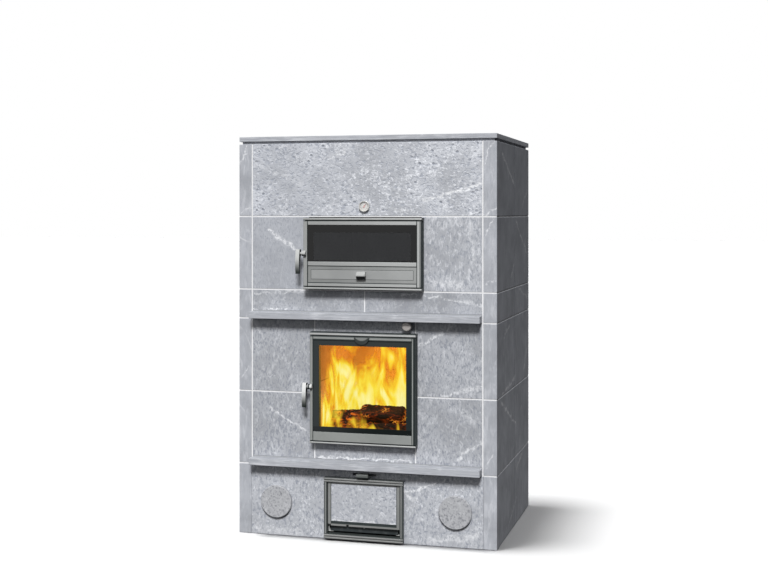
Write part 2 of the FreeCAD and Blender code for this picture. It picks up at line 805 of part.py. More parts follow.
def flap_rod(radius, half):
    """Cylinder on the flap's hinge line."""
    return rod(radius, V(-half, flap_axis_y, flap_axis_z), V(half, flap_axis_y, flap_axis_z))


def oven_leaf():
    """Leaf of the oven door: window above, panel with the flap's hole below, handle boss."""
    d = oven
    inner = d.leaf_half - d.stile
    rails = [leaf_rail(d, d.leaf_low, oven_panel_low), leaf_rail(d, oven_panel_high, oven_window[0]),
             leaf_rail(d, oven_window[1], d.leaf_high)]
    panel = block(-inner, inner, panel_front, d.leaf_back, oven_panel_low, oven_panel_high)
    boss = wedge(oven_boss_left, oven_boss_right, d.leaf_front - oven_boss_reach, d.leaf_front + edge_round,
                 oven_spindle - oven_boss_height / 2, oven_spindle + oven_boss_height / 2)
    body = fuse([*leaf_stiles(d), *rails, panel, boss])
    cuts = window_cuts(d, *oven_window)
    cuts += [rod(pin_radius + pin_play, V(d.axis_x, d.axis_y, z0), V(d.axis_x, d.axis_y, z1))
             for z0, z1 in pin_spans(d, in_bars=False)]
    cuts.append(spindle_bore(oven_boss_left, oven_boss_right, oven_spindle_y, oven_spindle))
    cuts += leaf_tongue_cuts(d, oven_spindle_y, oven_spindle)
    cuts.append(block(-flap_half - flap_play, flap_half + flap_play, panel_front - 1,
                      panel_front + flap_thick + flap_play, flap_low - flap_play, flap_high + flap_play))
    cuts.append(block(-flap_half + flap_lip, flap_half - flap_lip, panel_front, d.leaf_back + 1,
                      flap_low + flap_lip, flap_high - flap_lip))
    cuts.append(flap_rod(flap_pin_radius + pin_play, flap_half + flap_pin_length + flap_play))
    return body.cut(cuts)


def air_flap():
    """Flap with a rounded upper edge, hung on two small pins."""
    plate = block(-flap_half, flap_half, panel_front, panel_front + flap_thick, flap_low, flap_axis_z)
    edge = flap_rod(flap_thick / 2, flap_half)
    return fuse([plate, edge, flap_rod(flap_pin_radius, flap_half + flap_pin_length)])


def flap_knob():
    z0 = flap_low + flap_knob_rise
    return wedge(-flap_knob_width / 2, flap_knob_width / 2, panel_front - flap_knob_reach, panel_front,
                 z0, z0 + flap_knob_height)


# Ash drawer

ash_inner = ash_half - ash_side_bar
ash_inner_low = ash_low + ash_low_bar
ash_inner_high = ash_high - ash_top_bar
ash_front = front - ash_reach
drawer_front = ash_front + drawer_face_in
drawer_half = ash_inner - drawer_play
drawer_high = ash_inner_high - drawer_play
panel_half = drawer_half - carrier_band
panel_low = carrier_low + carrier_low_band
panel_high = drawer_high - carrier_top_band
carrier_inside = drawer_front + carrier_depth
pan_front = carrier_inside + carrier_back
pan_half = ash_inner - pan_side_room
catch_left = -drawer_half + catch_inset
catch_stem_left = catch_left + (catch_length - catch_stem) / 2
catch_stem_front = drawer_front + carrier_depth / 3
catch_stem_back = carrier_inside - carrier_depth / 3
catch_stem_top = carrier_low + carrier_low_band / 2


def ash_frame():
    """Cast frame with ridged bars and a sleeve in the stone's notch."""
    ring = frame_ring(ash_half, ash_low, ash_high, ash_front, front, ash_inner, ash_inner_low, ash_inner_high)
    notch = ash_half - ring_lap - stone_fit
    sleeve = frame_ring(notch, ash_low, ash_high - ring_lap - stone_fit, front, front + ash_sleeve,
                        ash_inner, ash_inner_low, ash_inner_high)
    ridges = []
    for z0, z1 in ((ash_low, ash_inner_low), (ash_inner_high, ash_high)):
        step = (z1 - z0) / 2
        for i in range(2):
            low = z0 + i * step
            ridges.append(bar(-ash_half, ash_half, ash_front - ash_ridge, ash_front,
                              low + ash_ridge / 4, low + step - ash_ridge / 4, "x", ash_ridge * 0.7))
    for side in (-1, 1):
        x0, x1 = sorted((side * (ash_inner + ash_ridge), side * (ash_half - ash_ridge)))
        ridges.append(bar(x0, x1, ash_front - ash_ridge / 2, ash_front, ash_inner_low, ash_inner_high,
                          "z", ash_ridge / 3))
    return fuse([ring, sleeve, *ridges])


def ash_runners():
    """Two angle rails on the frame's cheeks, which the pan slides on."""
    pieces = []
    z0 = pan_low - runner_wall - seal_gap
    y1 = pan_front + pan_length
    for side in (-1, 1):
        x0, x1 = sorted((side * (ash_inner - runner_flange), side * ash_inner))
        flat = block(x0, x1, front, y1, z0, z0 + runner_wall)
        x0, x1 = sorted((side * (ash_inner - runner_wall), side * ash_inner))
        pieces.append(fuse([flat, block(x0, x1, front, y1, z0, z0 + runner_height)]))
    return pieces


def drawer_carrier():
    """Metal front of the drawer: tray round the stone panel, with a finger lip below."""
    body = block(-drawer_half, drawer_half, drawer_front, pan_front, carrier_low, drawer_high)
    tray = block(-panel_half - panel_play, panel_half + panel_play, drawer_front - 1, carrier_inside,
                 panel_low - panel_play, panel_high + panel_play)
    catch_right = catch_left + catch_length
    lip = block(catch_right + catch_travel + panel_play, drawer_half, drawer_front, carrier_inside,
                carrier_low - catch_height, carrier_low)
    slot = block(catch_stem_left - panel_play, catch_stem_left + catch_stem + catch_travel + panel_play,
                 catch_stem_front - panel_play, catch_stem_back + panel_play,
                 carrier_low - 1, catch_stem_top + panel_play)
    return fuse([body, lip]).cut([tray, slot])


def drawer_stone():
    return block(-panel_half, panel_half, drawer_front + arris, carrier_inside, panel_low, panel_high)


def drawer_catch():
    """Sliding catch under the drawer front's left end."""
    z1 = carrier_low - panel_play
    grip = block(catch_left, catch_left + catch_length, drawer_front, carrier_inside,
                 carrier_low - catch_height, z1)
    stem = block(catch_stem_left, catch_stem_left + catch_stem, catch_stem_front, catch_stem_back,
                 z1, catch_stem_top)
    return fuse([grip, stem])


def ash_pan():
    """Sheet-metal box, open on top."""
    outer = block(-pan_half, pan_half, pan_front, pan_front + pan_length, pan_low, pan_high)
    inner = block(-pan_half + pan_wall, pan_half - pan_wall, pan_front + pan_wall,
                  pan_front + pan_length - pan_wall, pan_low + pan_wall, pan_high + 1)
    return outer.cut(inner)


def pan_screw():
    return rod(screw_radius, V(0, pan_front - screw_head, screw_z), V(0, pan_front, screw_z))


def air_control():
    """Tab, stem through the stone slot, and the valve plate inside."""
    y0 = front - control_reach
    grip = bar(-control_half, control_half, y0, y0 + control_depth, control_z - control_height / 2,
               control_z + control_height / 2, "x", edge_round)
    plate_front = inner_front + control_play
    stem = block(-control_stem / 2, control_stem / 2, y0 + control_depth, plate_front,
                 control_z - control_stem_height / 2, control_z + control_stem_height / 2)
    plate = block(-control_plate, control_plate, plate_front, plate_front + control_plate_thick,
                  control_z - control_height, control_z + control_height)
    return fuse([grip, stem, plate])


# Plugs, thermometer and damper

def sweep_plug(x):
    """Stone disc on a spigot that closes a sweeping hole."""
    disc = rod(plug_radius, V(x, front - plug_face, plug_z), V(x, front, plug_z))
    rim = [e for e in disc.Edges if e.BoundBox.YMax < front - plug_face / 2]
    disc = disc.makeChamfer(plug_arris, rim)
    spigot = rod(plug_spigot, V(x, front, plug_z), V(x, inner_front - plug_spigot_short, plug_z))
    return fuse([disc, spigot])


dial_front = front - gauge_reach + gauge_dial_in
dial_back = dial_front + gauge_dial_thick
dial_radius = gauge_radius - gauge_rim
needle_back = dial_front - needle_lift
needle_front = needle_back - needle_thick


def gauge_case():
    """Round case with a stem through the stone."""
    cup = rod(gauge_radius, V(0, front - gauge_reach, gauge_z), V(0, front, gauge_z))
    rim = [e for e in cup.Edges if e.BoundBox.YMax < front - gauge_reach / 2]
    cup = cup.makeFillet(gauge_rim / 2.5, rim)
    stem = rod(gauge_stem, V(0, front, gauge_z), V(0, front + gauge_stem_length, gauge_z))
    well = rod(dial_radius, V(0, front - gauge_reach - 1, gauge_z), V(0, dial_back, gauge_z))
    return fuse([cup, stem]).cut(well)


def gauge_dial():
    """Dial plate with the short arbor that the needle turns on."""
    plate = rod(dial_radius - panel_play, V(0, dial_front, gauge_z), V(0, dial_back, gauge_z))
    arbor = rod(needle_arbor, V(0, needle_front, gauge_z), V(0, dial_front, gauge_z))
    return fuse([plate, arbor])


def gauge_lens():
    y0 = front - gauge_reach + gauge_rim / 2
    return rod(dial_radius - panel_play / 3, V(0, y0, gauge_z), V(0, y0 + gauge_lens_thick, gauge_z))


def gauge_needle():
    """Pointer with a tail and a hub, turned to its reading."""
    half = needle_width / 2
    corners = [(-half, -needle_tail), (half, -needle_tail), (half, needle_shoulder), (0, needle_length),
               (-half, needle_shoulder), (-half, -needle_tail)]
    outline = Part.makePolygon([V(x, needle_front, gauge_z + z) for x, z in corners])
    blade = Part.Face(outline).extrude(V(0, needle_thick, 0))
    hub = rod(needle_hub, V(0, needle_front, gauge_z), V(0, needle_back, gauge_z))
    bore = rod(needle_arbor + pin_play, V(0, needle_front - 1, gauge_z), V(0, needle_back + 1, gauge_z))
    piece = fuse([blade, hub]).cut(bore)
    return piece.rotate(V(0, 0, gauge_z), V(0, 1, 0), needle_angle)


def damper_parts():
    """Knob, rod and the plate that slides under the throat."""
    plate_top = throat_floor - damper_plate_gap
    knob_back = front - damper_neck
    knob = rod(damper_knob_radius, V(damper_x, knob_back - damper_knob_depth, damper_z),
               V(damper_x, knob_back, damper_z))
    knob = knob.makeFillet(damper_knob_round, knob.Edges[:1] + knob.Edges[2:])
    socket = rod(damper_rod_radius + spindle_play, V(damper_x, knob_back - damper_knob_depth / 2, damper_z),
                 V(damper_x, knob_back + 1, damper_z))
    saddle_y = throat_front + throat_depth / 2
    shaft = rod(damper_rod_radius, V(damper_x, knob_back - damper_knob_depth / 2, damper_z),
                V(damper_x, saddle_y + damper_saddle, damper_z))
    plate = block(throat_left - damper_plate_lap, throat_right + damper_plate_lap,
                  throat_front - damper_plate_lap, core_rear - damper_plate_gap,
                  plate_top - damper_plate_height, plate_top)
    saddle = block(damper_x - damper_saddle, damper_x + damper_saddle, saddle_y - damper_saddle,
                   saddle_y + damper_saddle, damper_z - damper_saddle, plate_top)
    hole = rod(damper_rod_radius + spindle_play, V(damper_x, saddle_y - damper_saddle - 1, damper_z),
               V(damper_x, saddle_y + damper_saddle + 1, damper_z))
    return knob.cut(socket), shaft, fuse([plate, saddle]).cut(hole)


# Every node and its solids

def all_nodes():
    beside, sill, lintel = fire_stones()
    spacer, top = top_stones()
    side_bricks, rear_bricks = core_bricks()
    vault, cover = vault_and_cover()
    knob, shaft, plate = damper_parts()
    return {
        "base_slab": [block(-inner_x, inner_x, inner_front, inner_back, 0, base_height)],
        "left_wall_slabs": wall_slabs(-1),
        "right_wall_slabs": wall_slabs(1),
        "back_wall_slabs": back_slabs(),
        "flue_slab": [flue_slab()],
        "front_base_slab": [front_base()],
        "lower_ledge": [ledge(low_ledge_z)],
        "front_fire_slabs": beside,
        "fire_sill": [sill],
        "fire_lintel": [lintel],
        "upper_ledge": [ledge(high_ledge_z)],
        "front_frieze_slabs": frieze_slabs(),
        "front_oven_slabs": oven_slabs(),
        "front_top_slab": [front_top()],
        "shadow_gap_slab": [spacer],
        "top_slab": [top],
        "joint_mortar": mortar(),
        "core_side_bricks": side_bricks,
        "core_back_bricks": rear_bricks,
        "firebox_floor_bricks": firebox_floor_bricks(),
        "fire_grate": [grate()],
        "oven_floor_slabs": oven_floor_slabs(),
        "oven_vault_slab": [vault],
        "core_cover_slab": [cover],
        "flue_collar": [flue_collar()],
        "oven_door_frame": [door_frame(oven, oven_spindle_y, oven_spindle)],
        "oven_door_seal": [door_seal(oven)],
        "oven_door_leaf": [oven_leaf()],
        "oven_door_glass": [door_glass(oven, *oven_window)],
        "oven_glass_clips": glass_clips(oven, *oven_window),
        "oven_door_lever": [lever(oven_lever_x, oven_spindle_y, oven_spindle)],
        "oven_door_latch": [latch(oven, oven_lever_x + lever_width / 2, oven_boss_right,
                                  oven_spindle_y, oven_spindle)],
        "oven_air_flap": [air_flap()],
        "oven_flap_knob": [flap_knob()],
        "fire_door_frame": [door_frame(fire, fire_spindle_y, fire_spindle)],
        "fire_door_seal": [door_seal(fire)],
        "fire_door_leaf": [fire_leaf()],
        "fire_door_glass": [door_glass(fire, *fire_window)],
        "fire_glass_clips": glass_clips(fire, *fire_window),
        "fire_door_lever": [lever(fire_lever_x, fire_spindle_y, fire_spindle)],
        "fire_door_latch": [latch(fire, fire_lever_x + lever_width / 2, fire_boss_right,
                                  fire_spindle_y, fire_spindle)],
        "air_wash_tab": [air_wash_tab()],
        "door_hinge_pins": hinge_pins(oven) + hinge_pins(fire),
        "ash_frame": [ash_frame()],
        "ash_runners": ash_runners(),
        "ash_drawer_carrier": [drawer_carrier()],
        "ash_drawer_stone": [drawer_stone()],
        "ash_drawer_catch": [drawer_catch()],
        "ash_pan": [ash_pan()],
        "ash_pan_screw": [pan_screw()],
        "air_control_lever": [air_control()],
        "left_sweep_plug": [sweep_plug(-plug_x)],
        "right_sweep_plug": [sweep_plug(plug_x)],
        "gauge_case": [gauge_case()],
        "gauge_dial": [gauge_dial()],
        "gauge_lens": [gauge_lens()],
        "gauge_needle": [gauge_needle()],
        "damper_knob": [knob],
        "damper_rod": [shaft],
        "damper_plate": [plate],
    }


def main():
    os.makedirs("parts", exist_ok=True)
    for name, solids in all_nodes().items():
        for solid in solids:
            if not solid.isValid() or len(solid.Solids) != 1:
                print("check", name, solid.isValid(), len(solid.Solids))
        shape = solids[0] if len(solids) == 1 else Part.makeCompound(solids)
        shape.exportStep("parts/" + name + ".step")


main()
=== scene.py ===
import json
import math
import random

import bpy
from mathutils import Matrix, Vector, noise


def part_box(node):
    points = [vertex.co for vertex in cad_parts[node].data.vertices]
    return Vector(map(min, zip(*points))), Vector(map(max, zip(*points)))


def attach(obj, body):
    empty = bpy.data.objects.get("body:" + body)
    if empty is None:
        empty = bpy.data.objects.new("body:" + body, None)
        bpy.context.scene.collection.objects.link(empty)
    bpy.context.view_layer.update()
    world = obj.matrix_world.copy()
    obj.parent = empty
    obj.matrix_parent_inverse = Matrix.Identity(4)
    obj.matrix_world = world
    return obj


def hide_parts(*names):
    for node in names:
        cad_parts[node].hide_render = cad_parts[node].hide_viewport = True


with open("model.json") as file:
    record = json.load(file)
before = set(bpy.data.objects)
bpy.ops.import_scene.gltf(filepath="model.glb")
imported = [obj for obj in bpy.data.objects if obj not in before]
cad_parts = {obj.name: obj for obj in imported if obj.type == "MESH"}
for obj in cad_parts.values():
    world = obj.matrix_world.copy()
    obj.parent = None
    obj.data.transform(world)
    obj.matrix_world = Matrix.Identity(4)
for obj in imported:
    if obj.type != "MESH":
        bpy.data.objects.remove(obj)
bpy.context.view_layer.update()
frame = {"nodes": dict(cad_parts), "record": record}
nodes = frame["nodes"]
print("frame loaded,", len(nodes), "nodes")


class Sock:
    # one output of a node, so that shader maths reads as plain sums
    def __init__(self, tree, socket):
        self.tree = tree
        self.socket = socket

    def calc(self, operation, *parts):
        return self.tree.node("ShaderNodeMath", {"operation": operation}, dict(enumerate(parts)))

    def also(self, out):
        return Sock(self.tree, self.socket.node.outputs[out])

    def __add__(self, other):
        return self.calc("ADD", self, other)

    def __sub__(self, other):
        return self.calc("SUBTRACT", self, other)

    def __rsub__(self, other):
        return self.calc("SUBTRACT", other, self)

    def __mul__(self, other):
        return self.calc("MULTIPLY", self, other)

    def __truediv__(self, other):
        return self.calc("DIVIDE", self, other)

    def __pow__(self, other):
        return self.calc("POWER", self, other)

    def __gt__(self, other):
        return self.calc("GREATER_THAN", self, other)

    def __lt__(self, other):
        return self.calc("LESS_THAN", self, other)

    def __abs__(self):
        return self.calc("ABSOLUTE", self)

    __radd__ = __add__
    __rmul__ = __mul__


class Tree:
    def __init__(self, nodeTree):
        self.nodes = nodeTree.nodes
        self.links = nodeTree.links
        self.nodes.clear()

    def node(self, kind, settings=None, inputs=None, out=0):
        made = self.nodes.new(kind)
        for key, value in (settings or {}).items():
            if key == "stops":
                self.setStops(made.color_ramp, value)
            else:
                setattr(made, key, value)
        for key, value in (inputs or {}).items():
            if isinstance(value, Sock):
                self.links.new(value.socket, made.inputs[key])
            else:
                made.inputs[key].default_value = value
        return Sock(self, made.outputs[out]) if len(made.outputs) else made

    def setStops(self, ramp, stops):
        while len(ramp.elements) < len(stops):
            ramp.elements.new(1.0)
        for element, (position, colour) in zip(ramp.elements, stops):
            element.position = position
            element.color = (*colour, 1.0)


class Finish(Tree):
    # a material, with the few patterns that the finishes share
    def __init__(self, name):
        self.material = bpy.data.materials.new(name)
        self.material.use_nodes = True
        super().__init__(self.material.node_tree)
        self.place = self.node("ShaderNodeTexCoord", out="Object")
        self.x = self.node("ShaderNodeSeparateXYZ", inputs={0: self.place})
        self.y = self.x.also(1)
        self.z = self.x.also(2)

    def mapped(self, spot, scale=(1, 1, 1), turn=(0, 0, 0), move=(0, 0, 0)):
        values = {"Vector": spot, "Scale": scale, "Rotation": turn, "Location": move}
        return self.node("ShaderNodeMapping", inputs=values)

    def grain(self, spot, scale, detail=2.0, rough=0.5, bend=0.0):
        values = {"Vector": spot, "Scale": scale, "Detail": detail, "Roughness": rough, "Distortion": bend}
        return self.node("ShaderNodeTexNoise", inputs=values)

    def step(self, value, low, high):
        return self.node("ShaderNodeMapRange", {"interpolation_type": "SMOOTHSTEP"},
                         {"Value": value, "From Min": low, "From Max": high})

    def mix(self, share, first, second):
        parts = [part if isinstance(part, Sock) else (*part, 1.0) for part in (first, second)]
        return self.node("ShaderNodeMix", {"data_type": "RGBA"}, {0: share, 6: parts[0], 7: parts[1]}, out=2)

    def ramp(self, value, stops):
        return self.node("ShaderNodeValToRGB", {"stops": stops}, {0: value})

    def bump(self, height, strength, distance):
        values = {"Height": height, "Strength": strength, "Distance": distance}
        return self.node("ShaderNodeBump", inputs=values)

    def within(self, value, low, high, edge):
        # soft band from low to high
        half = (high - low) / 2
        return self.step(abs(value - (low + high) / 2), half + edge, half - edge)

    def line(self, x, z, run):
        # soft line from one point of the front to another
        x0, z0, x1, z1, width = run
        dx, dz = x1 - x0, z1 - z0
        square = dx * dx + dz * dz
        along = (x - x0) * (dx / square) + (z - z0) * (dz / square)
        along = self.node("ShaderNodeClamp", inputs={0: along})
        sideways = x - (along * dx + x0)
        upwards = z - (along * dz + z0)
        away = (sideways * sideways + upwards * upwards) ** 0.5
        return self.step(away, width, width * 0.15)

    def surface(self, colour, rough, others=None):
        values = {"Base Color": colour, "Roughness": rough, **(others or {})}
        shader = self.node("ShaderNodeBsdfPrincipled", inputs=values)
        self.node("ShaderNodeOutputMaterial", inputs={"Surface": shader})
        return self.material


def dress(finish, *names):
    for name in names:
        nodes[name].material_slots[0].material = finish


def bodyOf(name):
    for body, members in frame["record"]["behaviour"]["bodies"].items():
        if name in members:
            return body


def placed(name, data):
    made = bpy.data.objects.new(name, data)
    bpy.context.scene.collection.objects.link(made)
    return made


def meshPiece(name, points, faces, material, body="masonry"):
    mesh = bpy.data.meshes.new(name)
    mesh.from_pydata(points, [], faces)
    mesh.validate()
    mesh.polygons.foreach_set("use_smooth", [True] * len(mesh.polygons))
    mesh.materials.append(material)
    piece = placed(name, mesh)
    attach(piece, body)
    return piece


# soapstone: speckle, white flecks, clouding and veins, with a jump in the pattern at each joint between slabs
courseTops = (0.3205, 0.6535, 0.9865, 1.1195, 1.4525)
stoneLook = {
    "base": (0.424, 0.436, 0.464), "dark": (0.233, 0.249, 0.288), "pale": (0.694, 0.707, 0.739), "tone": 1.0,
    "seed": 0.0, "courses": (), "courseJump": 1.37, "sides": False, "sideJump": 7.71, "deep": False, "deepJump": 3.13,
    "sideSplit": 0.02, "cloudScale": 5.0, "cloudShare": 0.24, "patchRatio": 2.7,
    "fleckScale": 112.0, "fleckStretch": (1.0, 1.0, 0.62), "fleckTurn": 0.35, "fineRatio": 3.0, "fineShare": 0.3,
    "darkFrom": 0.46, "darkTo": 0.68, "darkShare": 0.78, "darkSway": 0.22,
    "chipRatio": 0.62, "paleFrom": 0.49, "paleTo": 0.73, "paleShare": 0.58, "paleSway": 0.34,
    "pitScale": 135.0, "pitShare": 0.55, "pitTone": 0.85,
    "veinTone": (0.8, 0.81, 0.83), "veinShare": 0.15, "veinWidth": 0.007, "veinScale": 2.1, "veinTurn": 0.6,
    "wobbleScale": 22.0, "wobble": 0.05, "veins": (), "flankVeins": (), "flankFrom": 0.5985,
    "calm": None, "seam": 0.0, "fade": 0.0, "fadeLow": 0.2, "fadeHigh": 1.7,
    "relief": 0.25, "reliefDepth": 0.0025, "roughLow": 0.6, "roughHigh": 0.74,
}


def slabSpot(f, look):
    # the place in the pattern, moved on from slab to slab
    jump = f.x * 0.0 + look["seed"]
    for level in look["courses"]:
        jump = jump + (f.z > level) * look["courseJump"]
    if look["sides"]:
        jump = jump + (f.x > 0.0) * look["sideJump"]
    if look["deep"]:
        jump = jump + (f.y > look["sideSplit"]) * look["deepJump"]
    away = f.node("ShaderNodeCombineXYZ", inputs={0: jump, 1: jump * 0.7, 2: jump * 1.9})
    return f.node("ShaderNodeVectorMath", {"operation": "ADD"}, {0: f.place, 1: away})


def stoneVeins(f, look, spot, flank):
    # natural veins that wander with the noise and placed ones, all broken up along their length
    drift = f.grain(f.mapped(spot, (1.0, 1.0, 0.55), (0.5, look["veinTurn"], 0.2)), look["veinScale"], 3.0, 0.5, 0.6)
    thread = f.step(abs(drift - 0.5), look["veinWidth"], 0.0)
    broken = f.step(f.grain(spot, 9.0, 2.0), 0.5, 0.66)
    vein = thread * broken * look["veinShare"]
    sway = (f.grain(spot, look["wobbleScale"], 3.0) - 0.5) * look["wobble"]
    height = f.z + (f.grain(f.mapped(spot, move=(9, 4, 2)), look["wobbleScale"], 3.0) - 0.5) * look["wobble"]
    crumb = f.step(f.grain(spot, 70.0, 3.0, 0.7), 0.36, 0.6)
    for side, runs in ((f.x + sway, look["veins"]), (f.y + sway, look["flankVeins"])):
        for *run, strength in runs:
            streak = f.line(side, height, run) * crumb * strength
            if look["flankVeins"]:
                streak = streak * (flank if runs is look["flankVeins"] else 1 - flank)
            vein = vein.calc("MAXIMUM", vein, streak)
    return vein


def soapstone(name, **changes):
    look = {**stoneLook, **changes}
    f = Finish(name)
    spot = slabSpot(f, look)
    turned = f.mapped(spot, look["fleckStretch"], (0, look["fleckTurn"], 0))
    cloud = f.grain(spot, look["cloudScale"], 3.0, 0.55, 0.4)
    patch = f.grain(spot, look["cloudScale"] * look["patchRatio"], 2.0, 0.5, 0.8)
    fleck = f.grain(turned, look["fleckScale"], 2.5, 0.6, 0.5)
    chip = f.grain(f.mapped(turned, move=(3.7, 1.9, 5.3)), look["fleckScale"] * look["chipRatio"], 3.5, 0.66, 0.9)
    fine = f.grain(spot, look["fleckScale"] * look["fineRatio"], 2.0, 0.6)
    dark = f.step(fleck + (cloud - 0.5) * look["darkSway"], look["darkFrom"], look["darkTo"]) * look["darkShare"]
    pale = f.step(chip + (patch - 0.5) * look["paleSway"], look["paleFrom"], look["paleTo"]) * look["paleShare"]
    cells = f.node("ShaderNodeTexVoronoi", {"feature": "F1"}, {"Vector": turned, "Scale": look["pitScale"]})
    picked = f.node("ShaderNodeSeparateXYZ", inputs={0: cells.also("Color")})
    pit = f.step(cells, 0.36, 0.16) * f.step(picked, 0.35, 0.6)
    pit = pit * f.step(cloud + (patch - 0.5) * 0.5, 0.38, 0.55) * look["pitShare"]
    shade = f.step(cloud, 0.25, 0.75)
    stone, deepTone, paleTone = [[c * look["tone"] for c in look[key]] for key in ("base", "dark", "pale")]
    seamTone = [c * 0.5 for c in deepTone]
    colour = f.mix(shade, [c * (1 - look["cloudShare"]) for c in stone],
                   [c * (1 + look["cloudShare"] * 0.6) for c in stone])
    if look["calm"]:
        # towards the left the slab is plainer and darker
        full, none, paleCut, darkCut, gloom = look["calm"]
        plain = f.step(f.x, none, full)
        pale = pale * (1 - plain * paleCut)
        dark = dark * (1 - plain * darkCut)
        colour = f.mix(plain * gloom, colour, deepTone)
    colour = f.mix(fine * look["fineShare"], colour, deepTone)
    colour = f.mix(dark, colour, deepTone)
    colour = f.mix(pale, colour, paleTone)
    colour = f.mix(pit, colour, [c * look["pitTone"] for c in deepTone])
    flank = abs(f.x) > look["flankFrom"]
    vein = stoneVeins(f, look, spot, flank)
    colour = f.mix(vein, colour, look["veinTone"])
    if look["seam"]:
        # the upright joint between a front and a rear slab
        near = f.step(abs(f.y - look["sideSplit"]), look["seam"], look["seam"] * 0.5)
        colour = f.mix(near * flank, colour, seamTone)
    # painted shade: the flanks darker towards the top
    if look["fade"]:
        colour = f.mix(f.step(f.z, look["fadeLow"], look["fadeHigh"]) * flank * look["fade"], colour, seamTone)
    rough = shade * (look["roughHigh"] - look["roughLow"]) + look["roughLow"]
    relief = f.bump(fine * 0.5 - dark - pit * 1.5 - vein * 0.4, look["relief"], look["reliefDepth"])
    return f.surface(colour, rough, {"Normal": relief, "Specular IOR Level": 0.25})


dress(soapstone("topFrontStone", seed=0.4, tone=1.35, fleckScale=92.0, fleckStretch=(0.8, 1.0, 1.0), fleckTurn=0.5,
                darkShare=0.8, paleShare=0.66, chipRatio=0.9, pitScale=50.0, pitShare=1.0, relief=0.6,
                cloudScale=3.6, cloudShare=0.36, calm=(-0.45, 0.1, 0.45, 0.0, 0.12),
                veins=((0.267, 1.521, 0.53, 1.59, 0.012, 0.9), (-0.18, 1.715, -0.1, 1.745, 0.016, 0.5),
                       (0.11, 1.5, 0.2, 1.475, 0.009, 0.4), (-0.52, 1.7, -0.3, 1.6, 0.02, 0.3))),
      "front_top_slab")
dress(soapstone("ovenFrontStone", seed=2.3, sides=True, tone=1.07, fleckStretch=(1.0, 1.0, 0.45), fleckTurn=0.22,
                calm=(-0.3, -0.05, 0.72, 0.45, 0.22),
                veins=((-0.455, 1.384, -0.318, 1.306, 0.012, 0.75), (0.475, 1.43, 0.505, 1.26, 0.012, 0.4),
                       (0.3, 1.16, 0.44, 1.15, 0.02, 0.45))),
      "front_oven_slabs")
dress(soapstone("friezeStone", seed=5.6, sides=True, tone=0.93, darkShare=0.55, paleShare=0.42, cloudShare=0.3,
                veins=((-0.53, 1.104, -0.28, 1.11, 0.007, 0.4), (-0.53, 1.03, -0.36, 1.028, 0.006, 0.8),
                       (0.17, 1.106, 0.4, 1.09, 0.006, 0.6), (0.4, 1.09, 0.53, 1.062, 0.009, 0.5))),
      "front_frieze_slabs")
dress(soapstone("fireFrontStone", seed=8.9, sides=True, courses=(0.6535,), tone=0.95,
                fleckStretch=(1.0, 1.0, 0.48), fleckTurn=0.28, paleShare=0.5,
                veins=((-0.455, 0.583, -0.285, 0.491, 0.01, 0.65), (0.35, 0.662, 0.532, 0.705, 0.01, 0.65),
                       (0.25, 0.885, 0.33, 0.922, 0.01, 0.6), (0.33, 0.922, 0.4, 0.97, 0.006, 0.5),
                       (0.43, 0.392, 0.532, 0.47, 0.013, 0.65), (0.45, 0.6, 0.49, 0.56, 0.02, 0.3))),
      "front_fire_slabs")
dress(soapstone("fireSurroundStone", seed=12.4, courses=(0.6535,), tone=0.92,
                veins=((-0.22, 0.366, 0.1, 0.368, 0.006, 0.8), (0.1, 0.368, 0.225, 0.364, 0.005, 0.6))),
      "fire_sill", "fire_lintel")
dress(soapstone("baseFrontStone", seed=15.2, tone=1.1, fleckScale=84.0, darkShare=0.9, paleShare=0.62,
                chipRatio=1.15, cloudShare=0.18,
                veins=((0.185, 0.232, 0.28, 0.255, 0.011, 0.85), (0.28, 0.255, 0.385, 0.3, 0.006, 0.7),
                       (0.2, 0.215, 0.24, 0.19, 0.011, 0.7), (0.3, 0.02, 0.52, 0.055, 0.02, 0.5),
                       (-0.52, 0.03, -0.3, 0.018, 0.024, 0.36))),
      "front_base_slab")
dress(soapstone("ashDoorStone", seed=18.7, tone=1.1, fleckStretch=(1, 1, 1), fleckScale=84.0, darkShare=0.85,
                paleShare=0.56, pitScale=95.0, pitShare=0.85, cloudShare=0.1, veinShare=0.0,
                veins=((-0.15, 0.09, 0.15, 0.088, 0.006, 0.6),)),
      "ash_drawer_stone")
